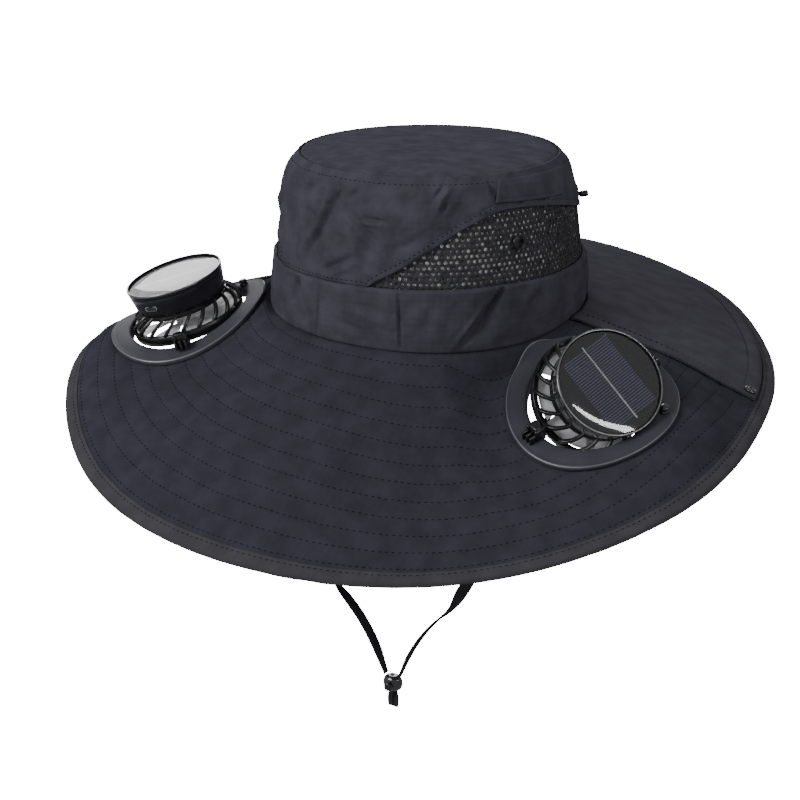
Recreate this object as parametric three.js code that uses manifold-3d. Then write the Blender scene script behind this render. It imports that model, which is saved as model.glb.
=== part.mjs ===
// Solar fan hat: a wide-brimmed cloth sun hat with two solar fans let into its brim.
// Millimetres, +Z up. The front faces -Y and the wearer's left is +X. The origin is the middle of
// the head opening, level with the seam between crown and brim.
// A "turn" is an angle round the hat in degrees, from the front (0) towards the wearer's left (90).

import * as THREE from 'three';
import { mergeVertices } from 'three/addons/utils/BufferGeometryUtils.js';
import Module from 'manifold-3d';

const wasm = await Module();
wasm.setup();

const DEGREE = Math.PI / 180;

// Head opening and crown
const SEAM_LENGTH = 182.8;      // seam between crown and brim, front to back
const SEAM_WIDTH = 180.2;       // the same seam, side to side
const CROWN_HEIGHT = 88.4;      // seam to seam
const TOP_RISE = 2.2;           // how far the top panel domes
const BAND_HEIGHT = 31.5;       // plain band at the foot of the crown
const BAND_PROUD = 0.8;         // how far the band stands out from the panel above it
const CROWN_CLOTH = 1.5;
const SEAM_GAP = 0.3;           // space left between pieces that touch

// Brim
const BRIM_WIDTH = 130;         // seam to edge, before the shares in BRIM_ROWS
const BRIM_CLOTH = 2.4;         // two layers with padding, measured upright
const BINDING_WIDTH = 7.5;
const BINDING_PROUD = 0.5;      // how far the binding stands above and below the brim
const FLAP_CLOTH = 1.2;
const FLAP_LIFT = 1.2;          // space between the brim and the flap over it
const FLAP_FRONT = 86;          // turn of the flap's front edge at the crown
const FLAP_SWEEP = 3.5;         // how much further back that edge meets the binding

const BRIM_STEPS = 48;          // columns of facets round the hat
// Where the rows of facets lie between the seam and the edge, closer by the crown
const BRIM_STOPS = [0, 0.025, 0.06, 0.16, 0.31, 0.46, 0.61, 0.76, 1];

// Mesh panels
const NET_THICK = 0.8;
const NET_COLUMNS = 12;
const NET_ROWS = 3;
const HOLE_SHARE = 0.62;        // opening of a net cell, as a share of the cell

// Fan units
const FLANGE_RADIUS = 47.2;
const OPENING_RADIUS = 35.5;    // round opening in the flange
const FLANGE_PLATE = 1.8;
const LIP_DEPTH = 5;            // lip that lines the hole in the brim
const LIP_WALL = 1.5;
const SEAT_GAP = 1.5;           // under the flange, which spans the folds of the cloth
const PIVOT_LIFT = 2.6;         // tilt axis above the middle of the seat
const RING_RADIUS = 33.2;       // cage's base ring, outside
const RING_WIDTH = 3;
const RING_TOP = 1.4;           // above the tilt axis
const RING_HEIGHT = 5.9;
const NECK_RADIUS = 26.2;       // cage's top ring, outside
const NECK_WIDTH = 2.2;
const NECK_HEIGHT = 1.8;
const RIB_COUNT = 12;
const RIB_WIDTH = 1.8;
const RIB_SLANT = 17;           // degrees from a rib's foot to its head
const PIN_RADIUS = 1.2;
const PIN_REACH = 39.2;         // end of each cage pin from the fan's axis
const BORE_CLEARANCE = 0.3;
const BLOCK_START = 34.6;       // inner face of each hinge block from the fan's axis
const BLOCK_LENGTH = 6.4;
const BLOCK_WIDTH = 8.5;
const BLOCK_TOP = 4.2;          // above the tilt axis
const KNOB_RADIUS = 2.6;
const KNOB_HEIGHT = 3.4;
const KNOB_DISTANCE = 38.8;     // from the fan's axis
const KNOB_TURN = 210;          // round the flange, from the crown-side direction
const HEAD_RADIUS = 28.75;
const HEAD_FOOT = 26.3;         // radius at the bottom of the housing
const HEAD_BASE = 11.1;         // bottom of the housing above the tilt axis
const HEAD_HEIGHT = 14.5;
const HEAD_RIM = 1.4;           // wall round the clear disc
const COVER_THICK = 0.8;
const CELL_LENGTH = 42;
const CELL_WIDTH = 31;
const CELL_THICK = 0.5;
const PORT_WIDTH = 8.6;
const PORT_HEIGHT = 3.2;
const PORT_DEPTH = 2.4;
const PORT_LEVEL = 17;          // above the tilt axis
const PORT_TURN = 60.5;         // round the housing, from the x axis of the unit
const BOSS_RADIUS = 6.5;        // motor boss under the housing
const BOSS_DROP = 1.2;
const HUB_RADIUS = 8;
const HUB_HEIGHT = 14;
const BLADE_COUNT = 7;
const BLADE_RADIUS = 29.2;
const BLADE_THICK = 1.2;
const BLADE_HEIGHT = 5;
const BLADE_SWEEP = 50;         // degrees a blade covers at its tip

// Small fittings
const EYELET_RADIUS = 4.3;
const EYELET_BORE = 2;
const EYELET_THICK = 1.6;
const EYELET_HEIGHT = 53.4;
const EYELET_TURN = { left: 60, right: -96 };
const PATCH_CLOTH = 0.8;
const TOGGLE_RADIUS = 1.9;
const TOGGLE_LENGTH = 5.5;
const TOGGLE_TURN = 116;
const TOGGLE_SHARE = 0.71;      // of the crown's height
const SNAP_RADIUS = 3.4;
const SNAP_BORE = 1.5;
const SNAP_THICK = 1.4;
const SNAP_INSET = 1.6;         // degrees behind the flap's front edge
const SNAP_SHARE = 0.9;         // of the brim's run

// Cutters
const CUT_REACH = 8;            // how far a window's cutter reaches either side of the panel
const TRIM_DEPTH = 20;          // how far the cutter under a flange's fittings reaches down
const TRIM_STEPS = 24;
const SHAFT_DEPTH = 12;         // how far a fitting is drawn below the tilt axis before it is trimmed

// Chin strap
const STRAP_WIDTH = 7;
const STRAP_THICK = 1.3;
const STRAP_STEPS = 20;
const TAIL_LENGTH = 11.5;
const TAIL_WIDTH = 5.6;
const TAIL_THICK = 3.2;
const LOCK_RADIUS = 6.3;
const LOCK_HEIGHT = 10.5;
const BUTTON_RADIUS = 2.6;
const BUTTON_REACH = 2.4;

// Crown outline: height and radius, as shares of the crown's height and of the seam's radius
const CROWN_ROWS = [
  { height: 0.0, radius: 1.0 },
  { height: 0.2, radius: 0.996 },
  { height: 0.4, radius: 0.98 },
  { height: 0.55, radius: 0.961 },
  { height: 0.7, radius: 0.94 },
  { height: 0.83, radius: 0.912 },
  { height: 0.94, radius: 0.868 },
  { height: 1.0, radius: 0.81 },
];

// Dents and folds of the crown: place, reach each way, lean in degrees over the crown's height,
// and depth as a share of the seam's radius
const DENT_ROWS = [
  { turn: 46, height: 0.19, wide: 4.5, tall: 0.17, lean: 30, deep: 0.035 },
  { turn: -20, height: 0.6, wide: 5, tall: 0.28, lean: -16, deep: 0.022 },
  { turn: 2, height: 0.55, wide: 6, tall: 0.2, lean: 20, deep: 0.018 },
  { turn: 38, height: 0.78, wide: 5, tall: 0.16, lean: 30, deep: 0.018 },
  { turn: 62, height: 0.24, wide: 5, tall: 0.12, lean: -20, deep: 0.018 },
  { turn: 95, height: 0.75, wide: 6, tall: 0.18, lean: 15, deep: 0.02 },
  { turn: -55, height: 0.5, wide: 6, tall: 0.3, lean: 12, deep: 0.02 },
  { turn: -100, height: 0.55, wide: 8, tall: 0.25, lean: -15, deep: 0.018 },
  { turn: 140, height: 0.5, wide: 8, tall: 0.3, lean: 14, deep: 0.02 },
  { turn: 185, height: 0.6, wide: 7, tall: 0.3, lean: -12, deep: 0.02 },
];

// Brim by turn: width as a share of BRIM_WIDTH, droop in degrees, belly as the share of the fall
// that comes late, and the seam's lift as a share of the crown's height
const BRIM_ROWS = [
  { turn: -180, width: 1.007, droop: 6.5, belly: 0.26, lift: 0.01 },
  { turn: -150, width: 1.01, droop: 10.0, belly: 0.19, lift: -0.003 },
  { turn: -120, width: 0.97, droop: 18.2, belly: 0.14, lift: -0.015 },
  { turn: -90, width: 0.935, droop: 17.5, belly: 0.37, lift: -0.01 },
  { turn: -60, width: 0.959, droop: 17.6, belly: 0.45, lift: -0.002 },
  { turn: -30, width: 1.064, droop: 28.5, belly: 0.14, lift: -0.005 },
  { turn: 0, width: 1.084, droop: 32.7, belly: -0.02, lift: -0.014 },
  { turn: 30, width: 1.039, droop: 34.8, belly: -0.47, lift: -0.032 },
  { turn: 60, width: 1.046, droop: 22.2, belly: -0.29, lift: -0.023 },
  { turn: 90, width: 0.916, droop: 17.3, belly: 0.4, lift: 0.028 },
  { turn: 120, width: 0.868, droop: 15.4, belly: 0.4, lift: 0.041 },
  { turn: 150, width: 0.955, droop: 10.8, belly: 0.35, lift: 0.024 },
];

// Fans: where each sits and how its seat lies. Reach is a share of the brim's run, fall and rise
// are the seat's slopes outwards and round the hat, arch and dish are shares of the flange's radius,
// front is the way round the hat to the hinge's front end, and tilt leans the head.
const FAN_ROWS = [
  { side: 'left', turn: 65, reach: 0.381, fall: -0.267, rise: 0.35, arch: 0.109, dish: 0.037,
    front: -1, tilt: -35 },
  { side: 'right', turn: -62.5, reach: 0.419, fall: -0.288, rise: -0.092, arch: 0.166, dish: 0.07,
    front: 1, tilt: 0 },
];
const SEAT_FADE = 34;           // the brim flattens towards a flange over this distance
const SEAT_MARGIN = 1.5;        // flat cloth left round the flange

// Upper edge of each mesh window, as turns and shares of the crown's height
const WINDOW_ROWS = {
  left: [
    { turn: 9, top: 0.4 },
    { turn: 18, top: 0.49 },
    { turn: 27, top: 0.59 },
    { turn: 36, top: 0.685 },
    { turn: 44, top: 0.75 },
    { turn: 53, top: 0.8 },
    { turn: 65, top: 0.802 },
    { turn: 80, top: 0.77 },
    { turn: 100, top: 0.7 },
    { turn: 125, top: 0.6 },
    { turn: 148, top: 0.46 },
  ],
  right: [
    { turn: -42, top: 0.42 },
    { turn: -50, top: 0.53 },
    { turn: -58, top: 0.63 },
    { turn: -70, top: 0.74 },
    { turn: -85, top: 0.79 },
    { turn: -105, top: 0.76 },
    { turn: -128, top: 0.64 },
    { turn: -150, top: 0.46 },
  ],
};

// Corners of the stitched patch, as turns and shares of the crown's height
const PATCH_ROWS = {
  low: [{ turn: 51, height: 0.85 }, { turn: 88, height: 0.815 }],
  high: [{ turn: 54, height: 0.975 }, { turn: 96, height: 0.965 }],
};

// Route of the wearer's left half of the chin strap, from the seam to the lock, chosen by hand
const STRAP_ROUTE = [
  [91.0, 0, -1.6],
  [89.6, -1.5, -14],
  [87.6, -4.5, -28],
  [84.8, -9.0, -44],
  [81.0, -14.6, -62],
  [76.2, -21.4, -82],
  [70.0, -29.2, -104],
  [62.4, -37.2, -126],
  [54.6, -43.4, -144],
  [49.2, -46.2, -154],
  [38.8, -46.8, -172],
  [28.6, -45.8, -184],
  [20.4, -45.1, -195],
  [11.9, -44.8, -210],
  [4.7, -44.8, -227.6],
];
const LOCK_PLACE = [0, -44.8, -233];

// Colours
const NAVY = 0x35353f;
const CROWN_NAVY = 0x3c3a46;
const CHARCOAL = 0x3a3a40;
const BLACK = 0x141416;
const BLADE_GREY = 0xbfbfc4;
const CELL_BLUE = 0x23264a;
const SILVER = 0xb8b8bc;

const cloth = (colour) => new THREE.MeshStandardMaterial({ color: colour, roughness: 0.9 });
const plastic = (colour, roughness) => new THREE.MeshStandardMaterial({ color: colour, roughness });
const clothBrim = cloth(NAVY);
const clothCrown = cloth(CROWN_NAVY);
const webbing = cloth(BLACK);
const mattePlastic = plastic(CHARCOAL, 0.6);
const glossPlastic = plastic(BLACK, 0.2);
const bladePlastic = plastic(BLADE_GREY, 0.5);
const cellFace = plastic(CELL_BLUE, 0.3);
const clearCover = new THREE.MeshStandardMaterial(
  { color: 0xffffff, roughness: 0.05, transparent: true, opacity: 0.25 });
const metal = new THREE.MeshStandardMaterial({ color: SILVER, roughness: 0.35, metalness: 1 });

// Small sums

const mix = (a, b, share) => a + (b - a) * share;
const clamp = (value) => Math.min(Math.max(value, 0), 1);

function smooth(value) {
  const t = clamp(value);
  return t * t * (3 - 2 * t);
}

// A smooth curve through one column of a table, read at a place in another column
function through(rows, placeColumn, place, column) {
  let i = 0;
  while (i < rows.length - 2 && place > rows[i + 1][placeColumn]) {
    i += 1;
  }
  const [a, b] = [rows[i], rows[i + 1]];
  const before = rows[Math.max(i - 1, 0)];
  const after = rows[Math.min(i + 2, rows.length - 1)];
  const span = b[placeColumn] - a[placeColumn];
  const t = (place - a[placeColumn]) / span;
  const leaving = ((b[column] - before[column]) / (b[placeColumn] - before[placeColumn])) * span;
  const arriving = ((after[column] - a[column]) / (after[placeColumn] - a[placeColumn])) * span;
  const rise = b[column] - a[column];
  return a[column] + t * (leaving + t * (3 * rise - 2 * leaving - arriving
    + t * (leaving + arriving - 2 * rise)));
}

// The brim's table, carried on past both ends so that it closes on itself
const brimCircle = [-2, -1].map((i) => BRIM_ROWS.at(i)).map((row) => ({ ...row, turn: row.turn - 360 }))
  .concat(BRIM_ROWS, [0, 1, 2].map((i) => ({ ...BRIM_ROWS[i], turn: BRIM_ROWS[i].turn + 360 })));

function wrapTurn(turn) {
  return ((((turn + 180) % 360) + 360) % 360) - 180;
}

const brimAt = (turn, column) => through(brimCircle, 'turn', wrapTurn(turn), column);

function seamRadius(turn) {
  const side = Math.sin(turn * DEGREE) / (SEAM_WIDTH / 2);
  const front = Math.cos(turn * DEGREE) / (SEAM_LENGTH / 2);
  return 1 / Math.hypot(side, front);
}

const seamHeight = (turn) => brimAt(turn, 'lift') * CROWN_HEIGHT;

function place(turn, radius, height) {
  return [radius * Math.sin(turn * DEGREE), -radius * Math.cos(turn * DEGREE), height];
}

// Crown surface

function dentDepth(turn, share) {
  let depth = 0;
  for (const dent of DENT_ROWS) {
    const off = wrapTurn(turn - dent.turn - dent.lean * (share - dent.height)) / dent.wide;
    const up = (share - dent.height) / dent.tall;
    depth += dent.deep * Math.exp(-off * off - up * up);
  }
  return depth * smooth(share / 0.1) * smooth((1 - share) / 0.08);
}

function crownPoint(turn, height, out) {
  const share = height / CROWN_HEIGHT;
  const shape = through(CROWN_ROWS, 'height', Math.max(share, 0), 'radius');
  return place(turn, seamRadius(turn) * (shape - dentDepth(turn, share)) + out, height);
}

// Brim surface

function brimRun(turn) {
  return BRIM_WIDTH * brimAt(turn, 'width') * Math.cos(brimAt(turn, 'droop') * DEGREE);
}

function openBrimHeight(turn, share) {
  const fall = BRIM_WIDTH * brimAt(turn, 'width') * Math.sin(brimAt(turn, 'droop') * DEGREE);
  const belly = brimAt(turn, 'belly');
  const run = Math.max(share, 0);
  return seamHeight(turn) - fall * ((1 - belly) * run + belly * run * run);
}

// Each fan's seat: its middle, the ways out and round the hat, and its slopes
const seats = FAN_ROWS.map((row) => {
  const radius = seamRadius(row.turn) + row.reach * brimRun(row.turn);
  const height = openBrimHeight(row.turn, row.reach);
  return {
    ...row,
    middle: place(row.turn, radius, height),
    out: place(row.turn, 1, 0),
    round: place(row.turn + 90, 1, 0),
    outShare: Math.cos(Math.atan(row.fall)),
    roundShare: Math.cos(Math.atan(row.rise)),
  };
});

function seatShift(seat, x, y) {
  const [dx, dy] = [x - seat.middle[0], y - seat.middle[1]];
  const away = (dx * seat.out[0] + dy * seat.out[1]) / (seat.outShare * FLANGE_RADIUS);
  const along = (dx * seat.round[0] + dy * seat.round[1]) / (seat.roundShare * FLANGE_RADIUS);
  return [away, along];
}

function seatHeight(seat, away, along) {
  const slope = seat.fall * seat.outShare * away + seat.rise * seat.roundShare * along;
  return seat.middle[2] + FLANGE_RADIUS * (slope + seat.dish * away * away - seat.arch * along * along);
}

function brimHeight(x, y) {
  const turn = Math.atan2(x, -y) / DEGREE;
  const share = (Math.hypot(x, y) - seamRadius(turn)) / brimRun(turn);
  let height = openBrimHeight(turn, share);
  for (const seat of seats) {
    const [away, along] = seatShift(seat, x, y);
    const beyond = (Math.hypot(away, along) - 1) * FLANGE_RADIUS - SEAT_MARGIN;
    const weight = smooth(1 - beyond / SEAT_FADE) * smooth(share / 0.05) * smooth((1 - share) / 0.14);
    height = mix(height, seatHeight(seat, away, along), weight);
  }
  return height;
}

function brimPoint(turn, share, up) {
  const radius = seamRadius(turn) + share * brimRun(turn);
  const [x, y] = place(turn, radius, 0);
  return [x, y, brimHeight(x, y) + up];
}

const bindingShare = (turn) => 1 - BINDING_WIDTH / (BRIM_WIDTH * brimAt(turn, 'width'));

// Closed meshes

function solidMesh(points, faces) {
  const geometry = new THREE.BufferGeometry();
  geometry.setAttribute('position', new THREE.Float32BufferAttribute(points.flat(), 3));
  geometry.setIndex(faces.flat());
  return tidyMesh(geometry);
}

// Merges shared corners, drops faces with no area and turns the faces outwards
function tidyMesh(source) {
  const bare = source.clone();
  bare.deleteAttribute('normal');
  bare.deleteAttribute('uv');
  const merged = mergeVertices(bare, 1e-3);
  const index = merged.index.array;
  const at = (i) => new THREE.Vector3().fromBufferAttribute(merged.attributes.position, i);
  const kept = [];
  let volume = 0;
  for (let i = 0; i < index.length; i += 3) {
    const [a, b, c] = index.slice(i, i + 3);
    if (a !== b && b !== c && c !== a) {
      kept.push([a, b, c]);
      volume += at(a).dot(at(b).cross(at(c)));
    }
  }
  merged.setIndex((volume > 0 ? kept : kept.map(([a, b, c]) => [a, c, b])).flat());
  merged.computeVertexNormals();
  return merged;
}

const quad = (a, b, c, d) => [[a, b, c], [a, c, d]];

// Two grids of points with walls round their edges. The grids close on themselves when they wrap.
function shell(across, down, wraps, outer, inner) {
  const columns = wraps ? across : across + 1;
  const points = [];
  for (const skin of [outer, inner]) {
    for (let j = 0; j <= down; j += 1) {
      for (let i = 0; i < columns; i += 1) {
        points.push(skin(i / across, j / down));
      }
    }
  }
  const half = columns * (down + 1);
  const at = (i, j, side) => side * half + j * columns + (i % columns);
  const faces = [];
  for (let i = 0; i < across; i += 1) {
    for (let j = 0; j < down; j += 1) {
      faces.push(...quad(at(i, j, 0), at(i + 1, j, 0), at(i + 1, j + 1, 0), at(i, j + 1, 0)));
      faces.push(...quad(at(i, j + 1, 1), at(i + 1, j + 1, 1), at(i + 1, j, 1), at(i, j, 1)));
    }
    faces.push(...quad(at(i + 1, 0, 0), at(i, 0, 0), at(i, 0, 1), at(i + 1, 0, 1)));
    faces.push(...quad(at(i, down, 0), at(i + 1, down, 0), at(i + 1, down, 1), at(i, down, 1)));
  }
  if (!wraps) {
    for (let j = 0; j < down; j += 1) {
      faces.push(...quad(at(0, j, 0), at(0, j + 1, 0), at(0, j + 1, 1), at(0, j, 1)));
      faces.push(...quad(at(across, j + 1, 0), at(across, j, 0), at(across, j, 1), at(across, j + 1, 1)));
    }
  }
  return solidMesh(points, faces);
}

// A section carried round a closed path
function ring(steps, section) {
  const points = [];
  const count = section(0).length;
  for (let i = 0; i < steps; i += 1) {
    points.push(...section(i / steps));
  }
  const at = (i, j) => (i % steps) * count + (j % count);
  const faces = [];
  for (let i = 0; i < steps; i += 1) {
    for (let j = 0; j < count; j += 1) {
      faces.push(...quad(at(i, j), at(i + 1, j), at(i + 1, j + 1), at(i, j + 1)));
    }
  }
  return solidMesh(points, faces);
}

// A round piece about Z from a profile of [radius, height] pairs
function turned(profile, sides) {
  const outline = profile.map(([radius, height]) => new THREE.Vector2(radius, height));
  return tidyMesh(new THREE.LatheGeometry(outline, sides).rotateX(Math.PI / 2));
}

// Cutting and joining

function toSolid(geometry) {
  return new wasm.Manifold(new wasm.Mesh({
    numProp: 3,
    vertProperties: new Float32Array(geometry.attributes.position.array),
    triVerts: new Uint32Array(geometry.index.array),
  }));
}

function toGeometry(solid) {
  const mesh = solid.getMesh();
  const geometry = new THREE.BufferGeometry();
  geometry.setAttribute('position', new THREE.BufferAttribute(new Float32Array(mesh.vertProperties), 3));
  geometry.setIndex(Array.from(mesh.triVerts));
  return tidyMesh(geometry);
}

function join(...pieces) {
  return toGeometry(pieces.map(toSolid).reduce((whole, piece) => whole.add(piece)));
}

function cut(piece, ...tools) {
  return toGeometry(tools.map(toSolid).reduce((whole, tool) => whole.subtract(tool), toSolid(piece)));
}

function named(name, geometry, material) {
  const mesh = new THREE.Mesh(geometry, material);
  mesh.name = name;
  return mesh;
}

// Crown pieces

const CROWN_STEPS = 48;

function crownTop() {
  const radiusAt = (turn) => {
    const [x, y] = crownPoint(turn, CROWN_HEIGHT, -CROWN_CLOTH - SEAM_GAP);
    return Math.hypot(x, y);
  };
  const skin = (drop) => (around, inward) => {
    const turn = around * 360;
    const share = 1 - inward;
    return place(turn, radiusAt(turn) * share, CROWN_HEIGHT + TOP_RISE * (1 - share * share) - drop);
  };
  return shell(CROWN_STEPS, 2, true, skin(0), skin(CROWN_CLOTH));
}

const windowTop = (side, turn) => {
  const rows = WINDOW_ROWS[side];
  const away = side === 'left' ? 1 : -1;
  const table = rows.map((row) => ({ place: row.turn * away, top: row.top }));
  return through(table, 'place', turn * away, 'top') * CROWN_HEIGHT;
};

function windowShell(side, outer, inner, grow) {
  const rows = WINDOW_ROWS[side];
  const [start, end] = [rows[0].turn, rows.at(-1).turn];
  const margin = (Math.sign(end - start) * grow) / (SEAM_WIDTH / 2) / DEGREE;
  const skin = (out) => (along, up) => {
    const inside = mix(start, end, along);
    const low = BAND_HEIGHT - grow;
    return crownPoint(inside + margin * (2 * along - 1), mix(low, windowTop(side, inside) + grow, up), out);
  };
  return shell(NET_COLUMNS, 1, false, skin(outer), skin(inner));
}

function crownSide() {
  const skin = (out) => (around, up) => {
    const foot = BAND_HEIGHT + SEAM_GAP;
    return crownPoint(around * 360, mix(foot, CROWN_HEIGHT, 1 - (1 - up) ** 1.4), out);
  };
  const panel = shell(CROWN_STEPS, 5, true, skin(0), skin(-CROWN_CLOTH));
  const windows = Object.keys(WINDOW_ROWS).map((side) => windowShell(side, CUT_REACH, -CUT_REACH, SEAM_GAP));
  return cut(panel, ...windows);
}

// The band's foot clears the brim, which rises beside the crown where a fan lifts it
function bandFoot(turn) {
  const seam = seamHeight(turn);
  const beside = brimPoint(turn, BRIM_STOPS[1], 0)[2];
  return Math.max(seam, mix(seam, beside, 0.6)) + 2 * SEAM_GAP;
}

function crownBand() {
  const skin = (out) => (around, up) => {
    const turn = around * 360;
    return crownPoint(turn, mix(bandFoot(turn), BAND_HEIGHT, up), out);
  };
  return shell(CROWN_STEPS, 2, true, skin(BAND_PROUD), skin(BAND_PROUD - CROWN_CLOTH));
}

// One net panel: a grid of cells, each a frame round an opening
function netPanel(side) {
  const rows = WINDOW_ROWS[side];
  const [start, end] = [rows[0].turn, rows.at(-1).turn];
  const point = (along, up, out) => {
    const turn = mix(start, end, along);
    return crownPoint(turn, mix(BAND_HEIGHT + SEAM_GAP, windowTop(side, turn), up), out);
  };
  const points = [];
  const faces = [];
  const add = (...corners) => {
    const first = points.length;
    points.push(...corners);
    faces.push(...quad(first, first + 1, first + 2, first + 3));
  };
  const front = -(CROWN_CLOTH - NET_THICK) / 2;
  const back = front - NET_THICK;
  const margin = (1 - HOLE_SHARE) / 2;
  for (let i = 0; i < NET_COLUMNS; i += 1) {
    for (let j = 0; j < NET_ROWS; j += 1) {
      const corner = (u, v, out) => point((i + u) / NET_COLUMNS, (j + v) / NET_ROWS, out);
      const rim = [[0, 0], [1, 0], [1, 1], [0, 1]];
      const hole = [[margin, margin], [1 - margin, margin], [1 - margin, 1 - margin], [margin, 1 - margin]];
      for (let k = 0; k < 4; k += 1) {
        const [a, b, c, d] = [rim[k], rim[(k + 1) % 4], hole[(k + 1) % 4], hole[k]];
        add(corner(...a, front), corner(...b, front), corner(...c, front), corner(...d, front));
        add(corner(...d, back), corner(...c, back), corner(...b, back), corner(...a, back));
        add(corner(...d, front), corner(...c, front), corner(...c, back), corner(...d, back));
        const onEdge = [j === 0, i === NET_COLUMNS - 1, j === NET_ROWS - 1, i === 0][k];
        if (onEdge) {
          add(corner(...b, front), corner(...a, front), corner(...a, back), corner(...b, back));
        }
      }
    }
  }
  return solidMesh(points, faces);
}

// A flat round fitting set on the crown at a turn and height, facing outwards
function crownFitting(name, geometry, material, turn, height, out) {
  const mesh = named(name, geometry, material);
  mesh.position.set(...crownPoint(turn, height, out));
  const [low, high] = [-3, 3].map((rise) => new THREE.Vector3(...crownPoint(turn, height + rise, 0)));
  const facing = new THREE.Vector3(...place(turn + 90, 1, 0)).cross(high.sub(low)).normalize();
  mesh.quaternion.setFromUnitVectors(new THREE.Vector3(0, 0, 1), facing);
  return mesh;
}

const washer = (radius, bore, thick) => turned(
  [[bore, 0], [radius, 0], [radius * 0.85, thick], [bore, thick], [bore, 0]], 12);

function sidePatch() {
  const { low, high } = PATCH_ROWS;
  const across = (row, along, column) => mix(row[0][column], row[1][column], along);
  const inside = (along, up, column) => mix(across(low, along, column), across(high, along, column), up);
  const skin = (out) => (along, up) => crownPoint(
    inside(along, up, 'turn'), inside(along, up, 'height') * CROWN_HEIGHT, out);
  const lift = 3 * SEAM_GAP;
  return shell(8, 4, false, skin(lift + PATCH_CLOTH), skin(lift));
}

// Brim pieces

// The share at one of the stops, with the first and the last moved to a piece's own edges
function stopShare(start, end, outward) {
  const i = Math.round(outward * (BRIM_STOPS.length - 1));
  if (i === 0) {
    return start;
  }
  return i === BRIM_STOPS.length - 1 ? end : BRIM_STOPS[i];
}

function brim() {
  const skin = (up) => (around, outward) => {
    const turn = around * 360;
    const start = -CROWN_CLOTH / brimRun(turn);
    const end = bindingShare(turn) - SEAM_GAP / BRIM_WIDTH;
    return brimPoint(turn, stopShare(start, end, outward), up);
  };
  const sheet = shell(BRIM_STEPS, BRIM_STOPS.length - 1, true, skin(0), skin(-BRIM_CLOTH));
  return cut(sheet, ...seats.map(lipPlug));
}

function brimBinding() {
  const section = (around) => {
    const turn = around * 360;
    const [start, end] = [bindingShare(turn), 1];
    const [top, foot] = [BINDING_PROUD, -BRIM_CLOTH - BINDING_PROUD];
    const middle = (top + foot) / 2;
    return [
      brimPoint(turn, start, top),
      brimPoint(turn, mix(start, end, 0.7), top),
      brimPoint(turn, end, middle),
      brimPoint(turn, mix(start, end, 0.7), foot),
      brimPoint(turn, start, foot),
    ];
  };
  return ring(BRIM_STEPS, section);
}

function neckFlap() {
  // The columns between the two front edges lie over the brim's own
  const first = Math.ceil((FLAP_FRONT + FLAP_SWEEP) * (BRIM_STEPS / 360));
  const columns = BRIM_STEPS - 2 * first + 2;
  const skin = (up) => (along, outward) => {
    const front = FLAP_FRONT + FLAP_SWEEP * outward;
    const i = Math.round(along * columns);
    const inside = ((first - 1 + i) * 360) / BRIM_STEPS;
    const turn = i === 0 ? front : i === columns ? 360 - front : inside;
    const start = (2 * BAND_PROUD) / brimRun(turn);
    const end = bindingShare(turn) - (2 * SEAM_GAP) / BRIM_WIDTH;
    return brimPoint(turn, stopShare(start, end, outward), up);
  };
  return shell(columns, BRIM_STOPS.length - 1, false, skin(FLAP_LIFT + FLAP_CLOTH), skin(FLAP_LIFT));
}

function flapSnap(name, side) {
  const turn = side * (FLAP_FRONT + FLAP_SWEEP + SNAP_INSET);
  const top = (around, share) => new THREE.Vector3(...brimPoint(around, share, FLAP_LIFT + FLAP_CLOTH));
  const middle = top(turn, SNAP_SHARE);
  const further = top(turn + side * 2, SNAP_SHARE);
  const outer = top(turn, SNAP_SHARE + 0.03);
  const normal = further.sub(middle).cross(outer.sub(middle)).normalize();
  normal.multiplyScalar(Math.sign(normal.z));
  const mesh = named(name, washer(SNAP_RADIUS, SNAP_BORE, SNAP_THICK), metal);
  mesh.position.copy(middle).addScaledVector(normal, 1.5 * SEAM_GAP);
  mesh.quaternion.setFromUnitVectors(new THREE.Vector3(0, 0, 1), normal);
  return mesh;
}

// Fan seats and flanges

function seatNormal(seat) {
  const across = seat.fall * seat.out[0] + seat.rise * seat.round[0];
  const along = seat.fall * seat.out[1] + seat.rise * seat.round[1];
  return new THREE.Vector3(-across, -along, 1).normalize();
}

// The unit's frame: z along the head's axis, y along the hinge to its front end
function unitFrame(seat, tilt) {
  const up = seatNormal(seat);
  const hinge = new THREE.Vector3(...seat.round).multiplyScalar(seat.front);
  hinge.addScaledVector(up, -hinge.dot(up)).normalize();
  const side = hinge.clone().cross(up);
  const frame = new THREE.Matrix4().makeBasis(side, hinge, up);
  frame.multiply(new THREE.Matrix4().makeRotationY(tilt * DEGREE));
  frame.setPosition(new THREE.Vector3(...seat.middle).addScaledVector(up, PIVOT_LIFT));
  return frame;
}

// A point on the flange's seat, away from its middle at an angle, then up along its normal
function seatPoint(seat, away, angle, up) {
  const outward = away * Math.cos(angle) * seat.outShare;
  const round = away * Math.sin(angle) * seat.roundShare;
  const x = seat.middle[0] + outward * seat.out[0] + round * seat.round[0];
  const y = seat.middle[1] + outward * seat.out[1] + round * seat.round[1];
  const point = new THREE.Vector3(x, y, brimHeight(x, y) + SEAT_GAP);
  return point.addScaledVector(seatNormal(seat), up).toArray();
}

const FLANGE_STEPS = 26;

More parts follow.
